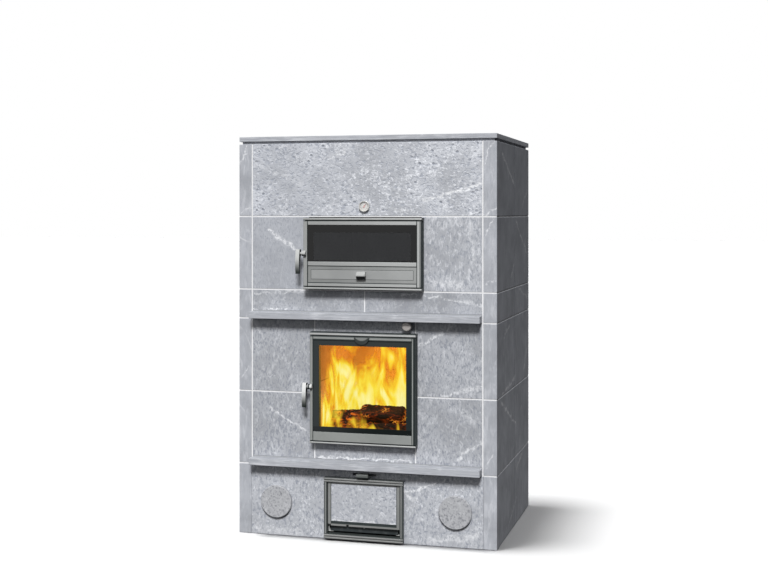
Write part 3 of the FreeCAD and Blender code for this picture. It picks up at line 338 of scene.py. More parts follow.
# on the corner columns and on the flanks, each course shows much the same thin veins; the flanks also get painted
# shade towards the top
dress(soapstone("wallStone", seed=21.5, courses=courseTops, sides=True, deep=True, tone=1.0, fade=0.34,
                base=(0.421, 0.434, 0.466), fleckScale=80.0, fleckStretch=(1.2, 1.0, 0.24), fleckTurn=0.0,
                darkShare=0.34, darkTo=0.76, paleShare=0.28, cloudScale=7.0, cloudShare=0.2, pitShare=0.0,
                veinShare=0.35, veinWidth=0.006, veinScale=1.9, seam=0.004,
                veins=((0.578, 1.775, 0.548, 1.69, 0.005, 0.7), (0.592, 1.495, 0.548, 1.462, 0.007, 0.7),
                       (0.576, 1.44, 0.548, 1.37, 0.005, 0.6), (0.548, 1.15, 0.596, 1.175, 0.006, 0.5),
                       (-0.562, 1.77, -0.594, 1.69, 0.005, 0.6), (-0.592, 1.468, -0.548, 1.49, 0.006, 0.6),
                       (-0.59, 0.7, -0.56, 0.76, 0.005, 0.4), (0.59, 0.42, 0.55, 0.36, 0.005, 0.4)),
                flankVeins=((-0.315, 1.735, 0.01, 1.6, 0.011, 0.8), (0.377, 1.575, 0.235, 1.496, 0.01, 0.55),
                            (0.065, 1.429, 0.377, 1.268, 0.011, 0.8), (0.037, 1.259, -0.077, 1.17, 0.01, 0.6),
                            (0.15, 1.103, 0.377, 1.055, 0.009, 0.6), (-0.133, 0.952, -0.275, 0.909, 0.01, 0.6),
                            (0.377, 0.79, 0.292, 0.697, 0.01, 0.6), (0.037, 0.697, -0.33, 0.656, 0.01, 0.75),
                            (-0.33, 0.626, 0.065, 0.467, 0.011, 0.8), (0.235, 0.298, 0.065, 0.255, 0.01, 0.6),
                            (0.065, 0.115, -0.133, 0.04, 0.01, 0.45))),
      "left_wall_slabs", "right_wall_slabs", "back_wall_slabs", "flue_slab", "base_slab")
dress(soapstone("sawnStone", seed=31.1, courses=(0.6, 1.5, 1.789), tone=1.02, fleckScale=190.0,
                fleckStretch=(0.06, 0.5, 1.0), fleckTurn=0.0, darkShare=0.5, darkTo=0.72, paleShare=0.44,
                cloudShare=0.14, pitShare=0.0, veinShare=0.0),
      "lower_ledge", "upper_ledge", "top_slab", "shadow_gap_slab")
dress(soapstone("plugStone", seed=36.8, sides=True, tone=1.0, base=(0.424, 0.43, 0.448), pale=(0.62, 0.626, 0.645),
                dark=(0.215, 0.22, 0.24), fleckScale=105.0, fleckStretch=(1, 1, 0.8), darkFrom=0.47, darkShare=0.85,
                paleShare=0.36, pitScale=80.0, pitShare=0.6, cloudShare=0.06, veinShare=0.0),
      "left_sweep_plug", "right_sweep_plug")
print("stone dressed")

mortarLook = {"light": (0.78, 0.78, 0.79), "dull": (0.62, 0.62, 0.63), "grit": (0.5, 0.5, 0.5), "sand": 900.0,
              "tinted": (0.36, 0.37, 0.39), "ledgeBeds": (0.3555, 1.0215), "bedHalf": 0.004, "bedSide": 0.5345}


def jointMortar(look):
    f = Finish("jointMortar")
    stain = f.step(f.grain(f.place, 7.0, 3.0), 0.35, 0.75)
    sand = f.grain(f.place, look["sand"], 2.0)
    colour = f.mix(sand * 0.25, f.mix(stain * 0.5, look["light"], look["dull"]), look["grit"])
    for bed in look["ledgeBeds"]:
        # the beds on top of the ledges are pointed in the stone's colour
        onLedge = (abs(f.z - bed) < look["bedHalf"]) * (abs(f.x) < look["bedSide"])
        colour = f.mix(onLedge, colour, f.mix(sand, look["tinted"], [c * 0.8 for c in look["tinted"]]))
    relief = f.bump(sand, 0.4, 0.0006)
    return f.surface(colour, sand * 0.15 + 0.8, {"Normal": relief})


dress(jointMortar(mortarLook), "joint_mortar")

brickLook = {"clay": (0.62, 0.44, 0.27), "pale": (0.74, 0.58, 0.4), "iron": (0.22, 0.12, 0.07),
             "soot": (0.045, 0.038, 0.033), "sootTop": 0.56, "sootFoot": 0.42, "joints": (0.39, 0.69, 0.99),
             "jointHalf": 0.0022}


def firebrick(look):
    f = Finish("firebrick")
    patch = f.grain(f.place, 9.0, 4.0, 0.6, 0.5)
    speck = f.grain(f.place, 210.0, 2.0)
    colour = f.mix(f.step(patch, 0.3, 0.7), look["clay"], look["pale"])
    colour = f.mix(f.step(speck, 0.62, 0.72) * 0.7, colour, look["iron"])
    # soot clouds, most of them low in the firebox
    low = f.step(f.z, look["sootTop"], look["sootFoot"])
    soot = f.step(patch + low * 0.35, 0.62, 0.95) * 0.8
    colour = f.mix(soot, colour, look["soot"])
    for level in look["joints"]:
        colour = f.mix(f.step(abs(f.z - level), look["jointHalf"], look["jointHalf"] * 0.5), colour, look["iron"])
    relief = f.bump(f.grain(f.place, 140.0, 3.0), 0.5, 0.0016)
    return f.surface(colour, soot * 0.08 + 0.86, {"Normal": relief})


dress(firebrick(brickLook), "core_side_bricks", "core_back_bricks", "firebox_floor_bricks", "oven_floor_slabs",
      "oven_vault_slab", "core_cover_slab")

# stove paint: light on the faces at the given depths, with painted shade in the grooves, on the flanks and on every
# face set back from them
paintLook = {"light": (0.318, 0.326, 0.322), "shade": (0.272, 0.28, 0.276), "dark": (0.026, 0.034, 0.034),
             "dust": (0.48, 0.49, 0.48), "dustShare": 0.1, "metallic": 0.12, "rough": 0.36,
             "faces": (), "skin": 0.0005, "rim": None, "boss": None, "bossTone": (0.62, 0.63, 0.62), "below": None,
             "grooves": (), "ridges": (), "edge": 0.0004, "scoop": None, "scoopTone": (0.2, 0.21, 0.204),
             "sweep": 0.0, "sweepHalf": 0.27}


def stovePaint(name, **changes):
    look = {**paintLook, **changes}
    f = Finish(name)
    drift = f.grain(f.place, 6.0, 3.0)
    peel = f.grain(f.place, 620.0, 2.0)
    dust = f.step(f.grain(f.place, 46.0, 4.0, 0.65), 0.45, 0.85)
    colour = f.mix(f.step(drift, 0.3, 0.7), look["light"], look["shade"])
    # painted shade mask: dark everywhere but on the faces at the given depths
    deep = f.x * 0.0 + (1.0 if look["faces"] else 0.0)
    for face in look["faces"]:
        deep = deep * f.step(abs(f.y - face), look["skin"] * 0.6, look["skin"] * 1.4)
    if look["faces"]:
        deep = deep * f.step(f.y, look["faces"][0] - 0.0012, look["faces"][0] - 0.0008)
    if look["rim"]:
        colour = f.mix(f.step(abs(f.y - look["faces"][0]), 0.0012, 0.0008), colour, look["rim"])
    if look["boss"]:
        # painted light on what stands out past the leaf: a painted highlight above and painted shade underneath
        proud = f.step(f.y, look["faces"][0] - 0.0008, look["faces"][0] - 0.0014)
        low = f.step(f.z, look["boss"] + 0.003, look["boss"] - 0.003)
        colour = f.mix(proud, colour, look["bossTone"])
        deep = deep.calc("MAXIMUM", deep, proud * low)
    # painted shade: dark below the given height
    if look["below"]:
        deep = deep.calc("MAXIMUM", deep, f.step(f.z, look["below"] + 0.001, look["below"] - 0.001))
    across = abs(f.x)

    def strip(x0, x1, z0, z1):
        # away from the middle by x0 to x1, at the heights z0 to z1
        return f.within(across, x0, x1, look["edge"]) * f.within(f.z, z0, z1, look["edge"])

    # painted highlight: thin lit ridges kept light within the painted shade
    for ridge in look["ridges"]:
        deep = deep * (1 - strip(*ridge))
    # painted shade along grooves and gaps between parts
    for groove in look["grooves"]:
        deep = deep.calc("MAXIMUM", deep, strip(*groove))
    if look["scoop"]:
        # painted highlight where a hollow catches the light: deepest in the middle, from the top edge down
        top, drop, half = look["scoop"]
        hollow = f.z - top + (1 - f.x * f.x / half ** 2) * drop
        colour = f.mix(f.step(hollow, -0.002, 0.004), colour, look["scoopTone"])
    if look["sweep"]:
        # painted shade: darker towards the left
        left = f.step(f.x, look["sweepHalf"], -look["sweepHalf"])
        colour = f.mix(left * look["sweep"], colour, (0.0, 0.0, 0.0))
    # the painted shade goes on here
    colour = f.mix(deep, colour, look["dark"])
    colour = f.mix(dust * look["dustShare"] * (1 - deep), colour, look["dust"])
    rough = dust * 0.16 + peel * 0.08 + look["rough"]
    return f.surface(colour, rough, {"Metallic": look["metallic"], "Normal": f.bump(peel, 0.12, 0.0003)})


barPaint = {"light": (0.49, 0.5, 0.494), "shade": (0.425, 0.435, 0.429), "skin": 0.0006}
ironPaint = {"light": (0.042, 0.053, 0.054), "shade": (0.034, 0.044, 0.045), "rough": 0.42}
fireGrooves = ((0.2275, 0.2305, 0.445, 0.489), (0.2275, 0.2305, 0.898, 0.92), (0.242, 0.25, 0.44, 0.92),
               (0.0, 0.25, 0.44, 0.4482), (0.0, 0.25, 0.9138, 0.922), (0.0, 0.23, 0.895, 0.905))
ovenGrooves = ((0.2506, 0.2546, 1.139, 1.434), (0.0, 0.253, 1.229, 1.2332), (0.0, 0.253, 1.154, 1.158),
               (0.0, 0.28, 1.431, 1.44), (0.0, 0.28, 1.13, 1.1418))
flapGrooves = ((0.2358, 0.238, 1.165, 1.22), (0.0, 0.238, 1.2138, 1.22), (0.0, 0.238, 1.165, 1.1732))
drawerGrooves = ((0.0, 0.153, 0.0735, 0.088), (0.149, 0.1535, 0.086, 0.256))
# sweep paints shade towards the left of the door frames, oven leaf and flap
dress(stovePaint("fireFramePaint", faces=(-0.482,), sweep=0.1, grooves=((0.0, 0.26, 0.9308, 0.937),), **barPaint),
      "fire_door_frame")
dress(stovePaint("ovenFramePaint", faces=(-0.488,), sweep=0.2, **barPaint), "oven_door_frame")
dress(stovePaint("ashFramePaint", faces=(-0.468,), light=(0.25, 0.254, 0.25), shade=(0.2, 0.205, 0.202),
                 dark=(0.05, 0.058, 0.057), skin=0.0014, ridges=((0.1728, 0.1782, 0.03, 0.262),)), "ash_frame")
dress(stovePaint("fireLeafPaint", faces=(-0.484,), boss=0.684, grooves=fireGrooves, light=(0.272, 0.284, 0.275),
                 shade=(0.238, 0.25, 0.241)), "fire_door_leaf")
dress(stovePaint("ovenLeafPaint", faces=(-0.49, -0.487), rim=(0.42, 0.43, 0.425), boss=1.28,
                 grooves=ovenGrooves, skin=0.0012, sweep=0.28),
      "oven_door_leaf")
dress(stovePaint("flapPaint", faces=(-0.487,), grooves=flapGrooves, light=(0.364, 0.372, 0.37),
                 shade=(0.318, 0.326, 0.324), sweep=0.17), "oven_air_flap")
dress(stovePaint("drawerPaint", faces=(-0.458,), grooves=drawerGrooves, light=(0.25, 0.255, 0.25),
                 shade=(0.2, 0.206, 0.202)), "ash_drawer_carrier", "ash_drawer_catch")
# the air control lever's lower part is in painted shade
dress(stovePaint("controlPaint", light=(0.12, 0.128, 0.124), shade=(0.09, 0.098, 0.094), below=0.293),
      "air_control_lever")
dress(stovePaint("washTabPaint", light=(0.026, 0.032, 0.031), shade=(0.02, 0.025, 0.024),
                 scoop=(0.914, 0.014, 0.031)), "air_wash_tab")
dress(stovePaint("ironPaint", **ironPaint), "fire_grate", "flue_collar")
dress(stovePaint("panPaint", light=(0.024, 0.031, 0.034), shade=(0.019, 0.025, 0.027), rough=0.46), "ash_pan")
# the knob's lower half is in painted shade
dress(stovePaint("knobPaint", light=(0.45, 0.458, 0.452), shade=(0.41, 0.418, 0.412), dark=(0.008, 0.009, 0.009),
                 rough=0.3, below=1.1885), "oven_flap_knob")

steelLook = {"metal": (0.46, 0.47, 0.46), "dull": (0.3, 0.31, 0.3), "metallic": 0.55, "rough": 0.3}


def brushedSteel(name, **changes):
    look = {**steelLook, **changes}
    f = Finish(name)
    brush = f.grain(f.mapped(f.place, (0.04, 1.0, 1.0)), 900.0, 2.0)
    wear = f.step(f.grain(f.place, 38.0, 4.0), 0.35, 0.8)
    colour = f.mix(wear, look["metal"], look["dull"])
    rough = brush * 0.12 + wear * 0.12 + look["rough"]
    return f.surface(colour, rough, {"Metallic": look["metallic"], "Normal": f.bump(brush, 0.1, 0.0002)})


leverLook = {"under": (0.03, 0.036, 0.034), "flankTone": (0.032, 0.036, 0.035), "metallic": 0.25, "rough": 0.22}


def leverSteel(name, **changes):
    # bright above, with painted shade towards its lower end and on the flank beside the door
    look = {**leverLook, **changes}
    f = Finish(name)
    wear = f.grain(f.place, 60.0, 3.0)
    colour = f.mix(f.step(f.z, look["low"], look["high"]), look["under"], look["bright"])
    colour = f.mix(f.step(f.x, look["flank"] - 0.001, look["flank"] - 0.0004), colour, look["flankTone"])
    return f.surface(colour, wear * 0.15 + look["rough"], {"Metallic": look["metallic"]})


dress(leverSteel("ovenLeverSteel", low=1.196, high=1.275, flank=-0.2855, bright=(0.52, 0.53, 0.52)),
      "oven_door_lever")
dress(leverSteel("fireLeverSteel", low=0.6, high=0.68, flank=-0.2565, bright=(0.72, 0.73, 0.72)),
      "fire_door_lever")
dress(brushedSteel("bossSteel", metal=(0.52, 0.53, 0.52), dull=(0.4, 0.41, 0.4), metallic=0.2, rough=0.18),
      "oven_door_latch", "fire_door_latch")
dress(brushedSteel("damperSteel", metal=(0.39, 0.365, 0.35), dull=(0.29, 0.272, 0.262), metallic=0.2),
      "damper_knob", "damper_rod", "damper_plate")
dress(brushedSteel("sheetSteel", metal=(0.52, 0.53, 0.52), dull=(0.38, 0.39, 0.38), metallic=0.2, rough=0.4),
      "ash_runners", "oven_glass_clips", "fire_glass_clips", "door_hinge_pins", "ash_pan_screw")
dress(brushedSteel("bezelSteel", metal=(0.7, 0.69, 0.66), dull=(0.56, 0.55, 0.53), metallic=0.45, rough=0.2),
      "gauge_case")

# door glass: clear in the middle, with a printed black border that is darker at its foot
glassLook = {"edge": 0.0006, "foot": 0.45}


def doorGlass(name, **changes):
    look = {**glassLook, **changes}
    f = Finish(name)
    inside = f.within(f.x, -look["half"], look["half"], look["edge"])
    inside = inside * f.within(f.z, look["low"], look["high"], look["edge"])
    haze = f.grain(f.place, 14.0, 3.0)
    clear = f.step(haze, 0.35, 0.85) * look["haze"] + look["clear"]
    alpha = inside * (clear - 1.0) + 1.0
    foot = f.step(f.z, look["low"], look["low"] - 0.001)
    border = f.mix(foot, look["border"], [c * look["foot"] for c in look["border"]])
    return f.surface(f.mix(inside, border, look["tint"]), haze * 0.05 + 0.05,
                     {"Alpha": alpha, "IOR": 1.47, "Specular IOR Level": 0.35})


dress(doorGlass("fireGlass", half=0.202, low=0.511, high=0.875, border=(0.017, 0.023, 0.023),
                tint=(0.1, 0.06, 0.03), clear=0.03, haze=0.05), "fire_door_glass")
dress(doorGlass("ovenGlass", half=0.225, low=1.257, high=1.3815, border=(0.0085, 0.0085, 0.0085),
                tint=(0.024, 0.025, 0.027), clear=0.74, haze=0.1), "oven_door_glass")

# gauge: white dial with a ring of plain ticks, red needle, clear lens
dialLook = {"centreZ": 1.498, "ticks": 24, "inner": 0.014, "outer": 0.0185, "edge": 0.0003, "sweep": 0.42,
            "card": (0.62, 0.61, 0.585), "aged": (0.5, 0.49, 0.465), "ink": (0.03, 0.03, 0.03)}
needleLook = {"red": (0.55, 0.05, 0.03), "worn": (0.38, 0.03, 0.02)}
lensLook = {"clean": (0.9, 0.9, 0.9), "smear": (0.8, 0.82, 0.84), "alpha": 0.06}


def gaugeDial(look):
    f = Finish("dialFace")
    up = f.z - look["centreZ"]
    radius = (f.x * f.x + up * up) ** 0.5
    turn = f.x.calc("ARCTAN2", f.x, up) * (look["ticks"] / (2 * math.pi))
    tick = f.step(abs(turn.calc("FRACT", turn + 0.5) - 0.5), 0.16, 0.08)
    ring = f.step(radius, look["inner"] - look["edge"], look["inner"])
    ring = ring * f.step(radius, look["outer"] + look["edge"], look["outer"])
    scale = f.step(abs(turn), look["ticks"] * look["sweep"], look["ticks"] * (look["sweep"] - 0.01))
    age = f.grain(f.place, 160.0, 3.0)
    colour = f.mix(age * 0.3, look["card"], look["aged"])
    colour = f.mix(tick * ring * scale, colour, look["ink"])
    return f.surface(colour, age * 0.15 + 0.45)


def needlePaint(look):
    f = Finish("needlePaint")
    age = f.grain(f.place, 420.0, 3.0)
    return f.surface(f.mix(age, look["red"], look["worn"]), age * 0.2 + 0.3)


def lensGlass(look):
    f = Finish("lensGlass")
    smear = f.grain(f.place, 90.0, 3.0)
    return f.surface(f.mix(smear, look["clean"], look["smear"]), smear * 0.06 + 0.03,
                     {"Alpha": smear * look["alpha"] + look["alpha"]})


dress(gaugeDial(dialLook), "gauge_dial")
dress(needlePaint(needleLook), "gauge_needle")
dress(lensGlass(lensLook), "gauge_lens")
print("metal and glass dressed")

# rope seals: two rows of slanted fibre strands laid round each door opening
sealLook = {"width": 0.009, "pitch": 0.0062, "slant": 0.62, "corner": 0.006, "overlap": 0.8, "snug": 0.92,
            "fibre": (0.42, 0.41, 0.39), "hollow": (0.25, 0.245, 0.235), "soot": (0.06, 0.058, 0.055)}


def ropeFibre(look):
    f = Finish("ropeFibre")
    strand = f.grain(f.mapped(f.place, turn=(0, 0.7, 0)), 1400.0, 2.0)
    soot = f.step(f.grain(f.place, 26.0, 3.0), 0.4, 0.8)
    colour = f.mix(soot * 0.7, f.mix(strand, look["fibre"], look["hollow"]), look["soot"])
    return f.surface(colour, strand * 0.1 + 0.85, {"Normal": f.bump(strand, 0.5, 0.0004), "Sheen Weight": 0.2})


def newTree(name, inputs, output):
    # a geometry tree with the given inputs, by socket type, and one output
    group = bpy.data.node_groups.new(name, "GeometryNodeTree")
    for kind, names in inputs:
        for given in names:
            group.interface.new_socket(given, in_out="INPUT", socket_type="NodeSocket" + kind)
    group.interface.new_socket(output, in_out="OUTPUT", socket_type="NodeSocketGeometry")
    return group, Tree(group)


def sealTree(look):
    group, t = newTree("sealBraid", (("Float", ("pitch", "width", "thick", "slant")), ("Object", ("path",)),
                                     ("Material", ("fibre",))), "braid")
    given = t.node("NodeGroupInput", out="pitch")
    width = given.also("width")
    path = t.node("GeometryNodeObjectInfo", inputs={"Object": given.also("path")}, out="Geometry")
    curve = t.node("GeometryNodeMeshToCurve", inputs={"Mesh": path})
    curve = t.node("GeometryNodeResampleCurve", {"mode": "LENGTH"}, {"Curve": curve, "Length": given})
    tangent = t.node("GeometryNodeInputTangent")
    facing = t.node("FunctionNodeAlignRotationToVector", {"axis": "X"}, {"Vector": tangent})
    level = t.node("FunctionNodeAlignRotationToVector", {"axis": "Y", "pivot_axis": "X"},
                   {"Rotation": facing, "Vector": (0.0, 1.0, 0.0)})
    strand = t.node("GeometryNodeMeshUVSphere", inputs={"Segments": 8, "Rings": 5, "Radius": 0.5})
    join = t.nodes.new("GeometryNodeJoinGeometry")
    for side in (-1.0, 1.0):
        offset = t.node("ShaderNodeCombineXYZ", inputs={2: width * (0.25 * side)})
        size = t.node("ShaderNodeCombineXYZ", inputs={0: width * look["overlap"], 1: given.also("thick"),
                                                      2: given * look["snug"]})
        turn = t.node("ShaderNodeCombineXYZ", inputs={1: given.also("slant") * side})
        laid = strand
        for change, value in (("Scale", size), ("Rotation", turn), ("Translation", offset)):
            laid = t.node("GeometryNodeTransform", inputs={"Geometry": laid, change: value})
        row = t.node("GeometryNodeInstanceOnPoints", inputs={"Points": curve, "Instance": laid, "Rotation": level})
        t.links.new(row.socket, join.inputs[0])
    real = t.node("GeometryNodeRealizeInstances", inputs={0: Sock(t, join.outputs[0])})
    done = t.node("GeometryNodeSetMaterial", inputs={"Geometry": real, "Material": given.also("fibre")})
    t.node("NodeGroupOutput", inputs={0: done})
    return group


def grown(name, group, values, body):
    # runs a geometry tree once and keeps the plain mesh
    piece = placed(name, bpy.data.meshes.new(name))
    run = piece.modifiers.new("grow", "NODES")
    run.node_group = group
    for item in group.interface.items_tree:
        if item.in_out == "INPUT" and item.name in values:
            run[item.identifier] = values[item.name]
    ready = piece.evaluated_get(bpy.context.evaluated_depsgraph_get())
    mesh = bpy.data.meshes.new_from_object(ready)
    piece.modifiers.remove(run)
    piece.data = mesh
    mesh.name = name
    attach(piece, body)
    return piece


def roundedLoop(low, high, inset, corner):
    x0, x1, z0, z1 = low.x + inset, high.x - inset, low.z + inset, high.z - inset
    y = (low.y + high.y) / 2
    points = []
    for cx, cz, start in ((x1 - corner, z1 - corner, 0), (x0 + corner, z1 - corner, 90),
                          (x0 + corner, z0 + corner, 180), (x1 - corner, z0 + corner, 270)):
        for turn in range(0, 91, 15):
            a = math.radians(start + turn)
            points.append((cx + corner * math.cos(a), y, cz + corner * math.sin(a)))
    return points


def ropeSeal(name, node, group, fibre, look):
    low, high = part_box(node)
    points = roundedLoop(low, high, look["width"] / 2, look["corner"])
    mesh = bpy.data.meshes.new(name + "Path")
    mesh.from_pydata(points, [(i, (i + 1) % len(points)) for i in range(len(points))], [])
    path = placed(name + "Path", mesh)
    values = {"pitch": look["pitch"], "width": look["width"], "thick": high.y - low.y, "slant": look["slant"],
              "path": path, "fibre": fibre}
    piece = grown(name, group, values, bodyOf(node))
    bpy.data.objects.remove(path)
    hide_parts(node)
    return piece


fibre = ropeFibre(sealLook)
braid = sealTree(sealLook)
for name, node in (("ovenRope", "oven_door_seal"), ("fireRope", "fire_door_seal")):
    rope = ropeSeal(name, node, braid, fibre, sealLook)
    print(name, len(rope.data.polygons), "faces")

# the fire: split logs on the grate, an ember bed and three curtains of flame
logLook = {"rings": 56, "around": 40, "rough": 0.1, "fine": 0.07, "clefts": (0.62, 0.55, 0.78), "cleftTurn": 2.3,
           "taper": 0.12, "slip": 0.012, "char": (0.003, 0.002, 0.001), "ash": (0.014, 0.008, 0.005), "glow": 1.3,
           "stops": ((0.0, (0, 0, 0)), (0.18, (0.1, 0.012, 0.001)), (0.45, (0.56, 0.105, 0.005)),
                     (1.0, (1.0, 0.42, 0.05))),
           "logs": (((-0.23, -0.245, 0.472), (-0.062, -0.285, 0.47), 0.034),
                    ((-0.07, -0.262, 0.47), (0.165, -0.236, 0.474), 0.04),
                    ((-0.205, -0.12, 0.47), (0.17, -0.132, 0.472), 0.042),
                    ((-0.096, -0.168, 0.53), (0.122, -0.222, 0.538), 0.043),
                    ((-0.232, -0.206, 0.506), (-0.092, -0.186, 0.514), 0.034))}


def charredWood(look):
    f = Finish("charredWood")
    grain = f.grain(f.mapped(f.place, (0.25, 1.0, 1.0)), 120.0, 4.0, 0.6)
    cells = f.node("ShaderNodeTexVoronoi", {"feature": "DISTANCE_TO_EDGE"},
                   {"Vector": f.mapped(f.place, (0.7, 1.0, 1.0)), "Scale": 70.0})
    crack = f.step(cells, 0.07, 0.01)
    heat = f.step(f.grain(f.place, 13.0, 3.0), 0.5, 0.66)
    left = f.step(f.x, -0.05, -0.13) * 0.28  # the left end glows most
    warm = f.step(f.grain(f.mapped(f.place, (0.4, 1.0, 1.0)), 40.0, 3.0, 0.6, 1.0) + left * 0.2, 0.48, 0.78)
    colour = f.mix(grain, look["char"], look["ash"])
    glow = (crack * heat).calc("MAXIMUM", crack * heat, warm * (grain * 0.5 + left + 0.1))
    return f.surface(colour, grain * 0.2 + 0.75,
                     {"Specular IOR Level": 0.1, "Emission Color": f.ramp(glow, look["stops"]),
                      "Emission Strength": look["glow"], "Normal": f.bump(grain - crack, 0.7, 0.004)})


def splitLog(points, faces, start, end, radius, seed, look):
    # a split log: three flat cleft sides that meet in rough edges
    start = Vector(start)
    along = Vector(end) - start
    aside = along.cross(Vector((0, 0, 1))).normalized()
    above = aside.cross(along).normalized()
    first = len(points)
    for ring in range(look["rings"] + 1):
        share = ring / look["rings"]
        for step in range(look["around"]):
            a = 2 * math.pi * step / look["around"]
            shape = min(1.0, *[flat / max(0.2, math.cos(a - seed - look["cleftTurn"] * side))
                               for side, flat in enumerate(look["clefts"])])
            probe = Vector((share * 6 + seed * 9, math.cos(a) * 1.4, math.sin(a) * 1.4))
            bark = 1.0 + look["rough"] * noise.noise(probe) + look["fine"] * noise.noise(probe * 4.1)
            taper = 1.0 - look["taper"] * (abs(2 * share - 1) ** 16)
            reach = radius * shape * bark * taper
            slip = look["slip"] * noise.noise(Vector((a, seed, ring // look["rings"])))
            spot = start + along * (share + slip * (2 * share - 1))
            points.append(spot + aside * (reach * math.cos(a)) + above * (reach * math.sin(a)))

    def at(ring, step):
        return first + ring * look["around"] + step % look["around"]

    for ring in range(look["rings"]):
        for step in range(look["around"]):
            faces.append((at(ring, step), at(ring, step + 1), at(ring + 1, step + 1), at(ring + 1, step)))
    for ring, spot, turned in ((0, start, True), (look["rings"], start + along, False)):
        centre = len(points)
        points.append(spot)
        for step in range(look["around"]):
            a, b = at(ring, step), at(ring, step + 1)
            faces.append((centre, b, a) if turned else (centre, a, b))


logPoints, logFaces = [], []
for index, (start, end, radius) in enumerate(logLook["logs"]):
    splitLog(logPoints, logFaces, start, end, radius, index * 1.7, logLook)
meshPiece("fireLogs", logPoints, logFaces, charredWood(logLook))
print("logs", len(logFaces), "faces")

emberLook = {"length": 0.44, "depth": 0.3, "height": 0.447, "back": -0.17, "count": 1900.0, "lump": 0.0085,
             "seed": 11, "sizeLow": (0.7, 0.6, 0.55), "sizeHigh": (2.1, 1.5, 1.0), "roughScale": 90.0, "rough": 0.014,
             "crust": (0.01, 0.008, 0.006), "ash": (0.07, 0.06, 0.052), "strength": 1.1,
             "stops": ((0.44, (0.02, 0.002, 0.0)), (0.6, (0.72, 0.085, 0.004)), (0.76, (1.0, 0.4, 0.03)))}


def emberGlow(look):
    f = Finish("emberGlow")
    heat = f.grain(f.place, 34.0, 3.0, 0.6)
    crust = f.grain(f.place, 190.0, 3.0, 0.6)
    light = f.ramp(heat * 0.75 + crust * 0.35, look["stops"])
    return f.surface(f.mix(crust, look["crust"], look["ash"]), crust * 0.2 + 0.75,
                     {"Emission Color": light, "Emission Strength": look["strength"]})


def emberTree(look):
    group, t = newTree("emberBed", (("Float", ("length", "depth", "height", "back", "count", "lump")),
                                    ("Int", ("seed",)), ("Material", ("glow",))), "bed")
    given = t.node("NodeGroupInput", out="length")
    seed = given.also("seed")
    sheet = t.node("GeometryNodeMeshGrid", inputs={"Size X": given, "Size Y": given.also("depth")})
    where = t.node("ShaderNodeCombineXYZ", inputs={1: given.also("back"), 2: given.also("height")})
    sheet = t.node("GeometryNodeTransform", inputs={"Geometry": sheet, "Translation": where})
    spots = t.node("GeometryNodeDistributePointsOnFaces", inputs={"Mesh": sheet, "Density": given.also("count"),
                                                                  "Seed": seed})
    lump = t.node("GeometryNodeMeshIcoSphere", inputs={"Radius": given.also("lump"), "Subdivisions": 2})
    turn = t.node("FunctionNodeRandomValue", {"data_type": "FLOAT_VECTOR"},
                  {"Min": (0.0, 0.0, 0.0), "Max": (6.283, 6.283, 6.283), "Seed": seed})  # a full turn
    size = t.node("FunctionNodeRandomValue", {"data_type": "FLOAT_VECTOR"},
                  {"Min": look["sizeLow"], "Max": look["sizeHigh"], "Seed": seed})
    lumps = t.node("GeometryNodeInstanceOnPoints", inputs={"Points": spots, "Instance": lump, "Rotation": turn,
                                                           "Scale": size})
    lumps = t.node("GeometryNodeRealizeInstances", inputs={0: lumps})
    rough = t.node("ShaderNodeTexNoise", inputs={"Scale": look["roughScale"], "Detail": 2.0}, out=1)
    push = t.node("ShaderNodeVectorMath", {"operation": "SUBTRACT"}, {0: rough, 1: (0.5, 0.5, 0.5)})
    push = t.node("ShaderNodeVectorMath", {"operation": "SCALE"}, {0: push, "Scale": look["rough"]})
    lumps = t.node("GeometryNodeSetPosition", inputs={"Geometry": lumps, "Offset": push})
    done = t.node("GeometryNodeSetMaterial", inputs={"Geometry": lumps, "Material": given.also("glow")})
    t.node("NodeGroupOutput", inputs={0: done})
    return group


emberBed = grown("emberBed", emberTree(emberLook), {**emberLook, "glow": emberGlow(emberLook)}, "masonry")
print("embers", len(emberBed.data.polygons), "faces")

# each curtain of flame stands on a bent line of (x, y, height) points
flameLook = {"across": 150, "up": 56, "floor": 0.446, "thick": 0.004, "thinnest": 0.0002, "lean": 0.018,
             "wave": 0.012, "coreTop": 0.84, "coreFoot": 0.6, "strength": 1.05,
             "smoke": ((0.02, 0.01, 0.0), (0.03, 0.02, 0.0)),
             "stops": ((0.28, (0.64, 0.13, 0.01)), (0.44, (0.76, 0.25, 0.014)), (0.58, (0.87, 0.49, 0.02)),
                       (0.74, (0.95, 0.76, 0.055)), (0.96, (0.98, 0.91, 0.34))),
             "curtains": ({"name": "flameBack", "peaks": 9, "tall": (0.01, 0.055), "slim": (0.05, 0.09), "seed": 3,
                           "line": ((-0.232, -0.35, 0.16), (-0.23, -0.21, 0.3), (-0.212, -0.04, 0.42),
                                    (-0.06, 0.1, 0.43), (0.09, 0.105, 0.37), (0.225, 0.06, 0.26)),
                           "mean": 0.55, "from": 0.3, "to": 0.58, "most": 0.96, "core": 0.15, "soft": 0.66},
                          {"name": "flameMiddle", "peaks": 9, "tall": (0.04, 0.24), "slim": (0.03, 0.06), "seed": 8,
                           "line": ((-0.232, -0.165, 0.17), (-0.2, -0.13, 0.2), (-0.12, -0.1, 0.22),
                                    (0.0, -0.088, 0.24), (0.12, -0.09, 0.2), (0.205, -0.12, 0.14)),
                           "mean": 0.57, "from": 0.42, "to": 0.74, "most": 0.9, "core": 0.2, "soft": 0.55},
                          {"name": "flameFront", "peaks": 6, "tall": (0.03, 0.11), "slim": (0.035, 0.07), "seed": 21,
                           "line": ((-0.225, -0.322, 0.15), (-0.12, -0.33, 0.11), (0.03, -0.318, 0.06),
                                    (0.165, -0.296, 0.05)),
                           "mean": 0.55, "from": 0.38, "to": 0.8, "most": 0.85, "core": 0.0, "soft": 0.25})}


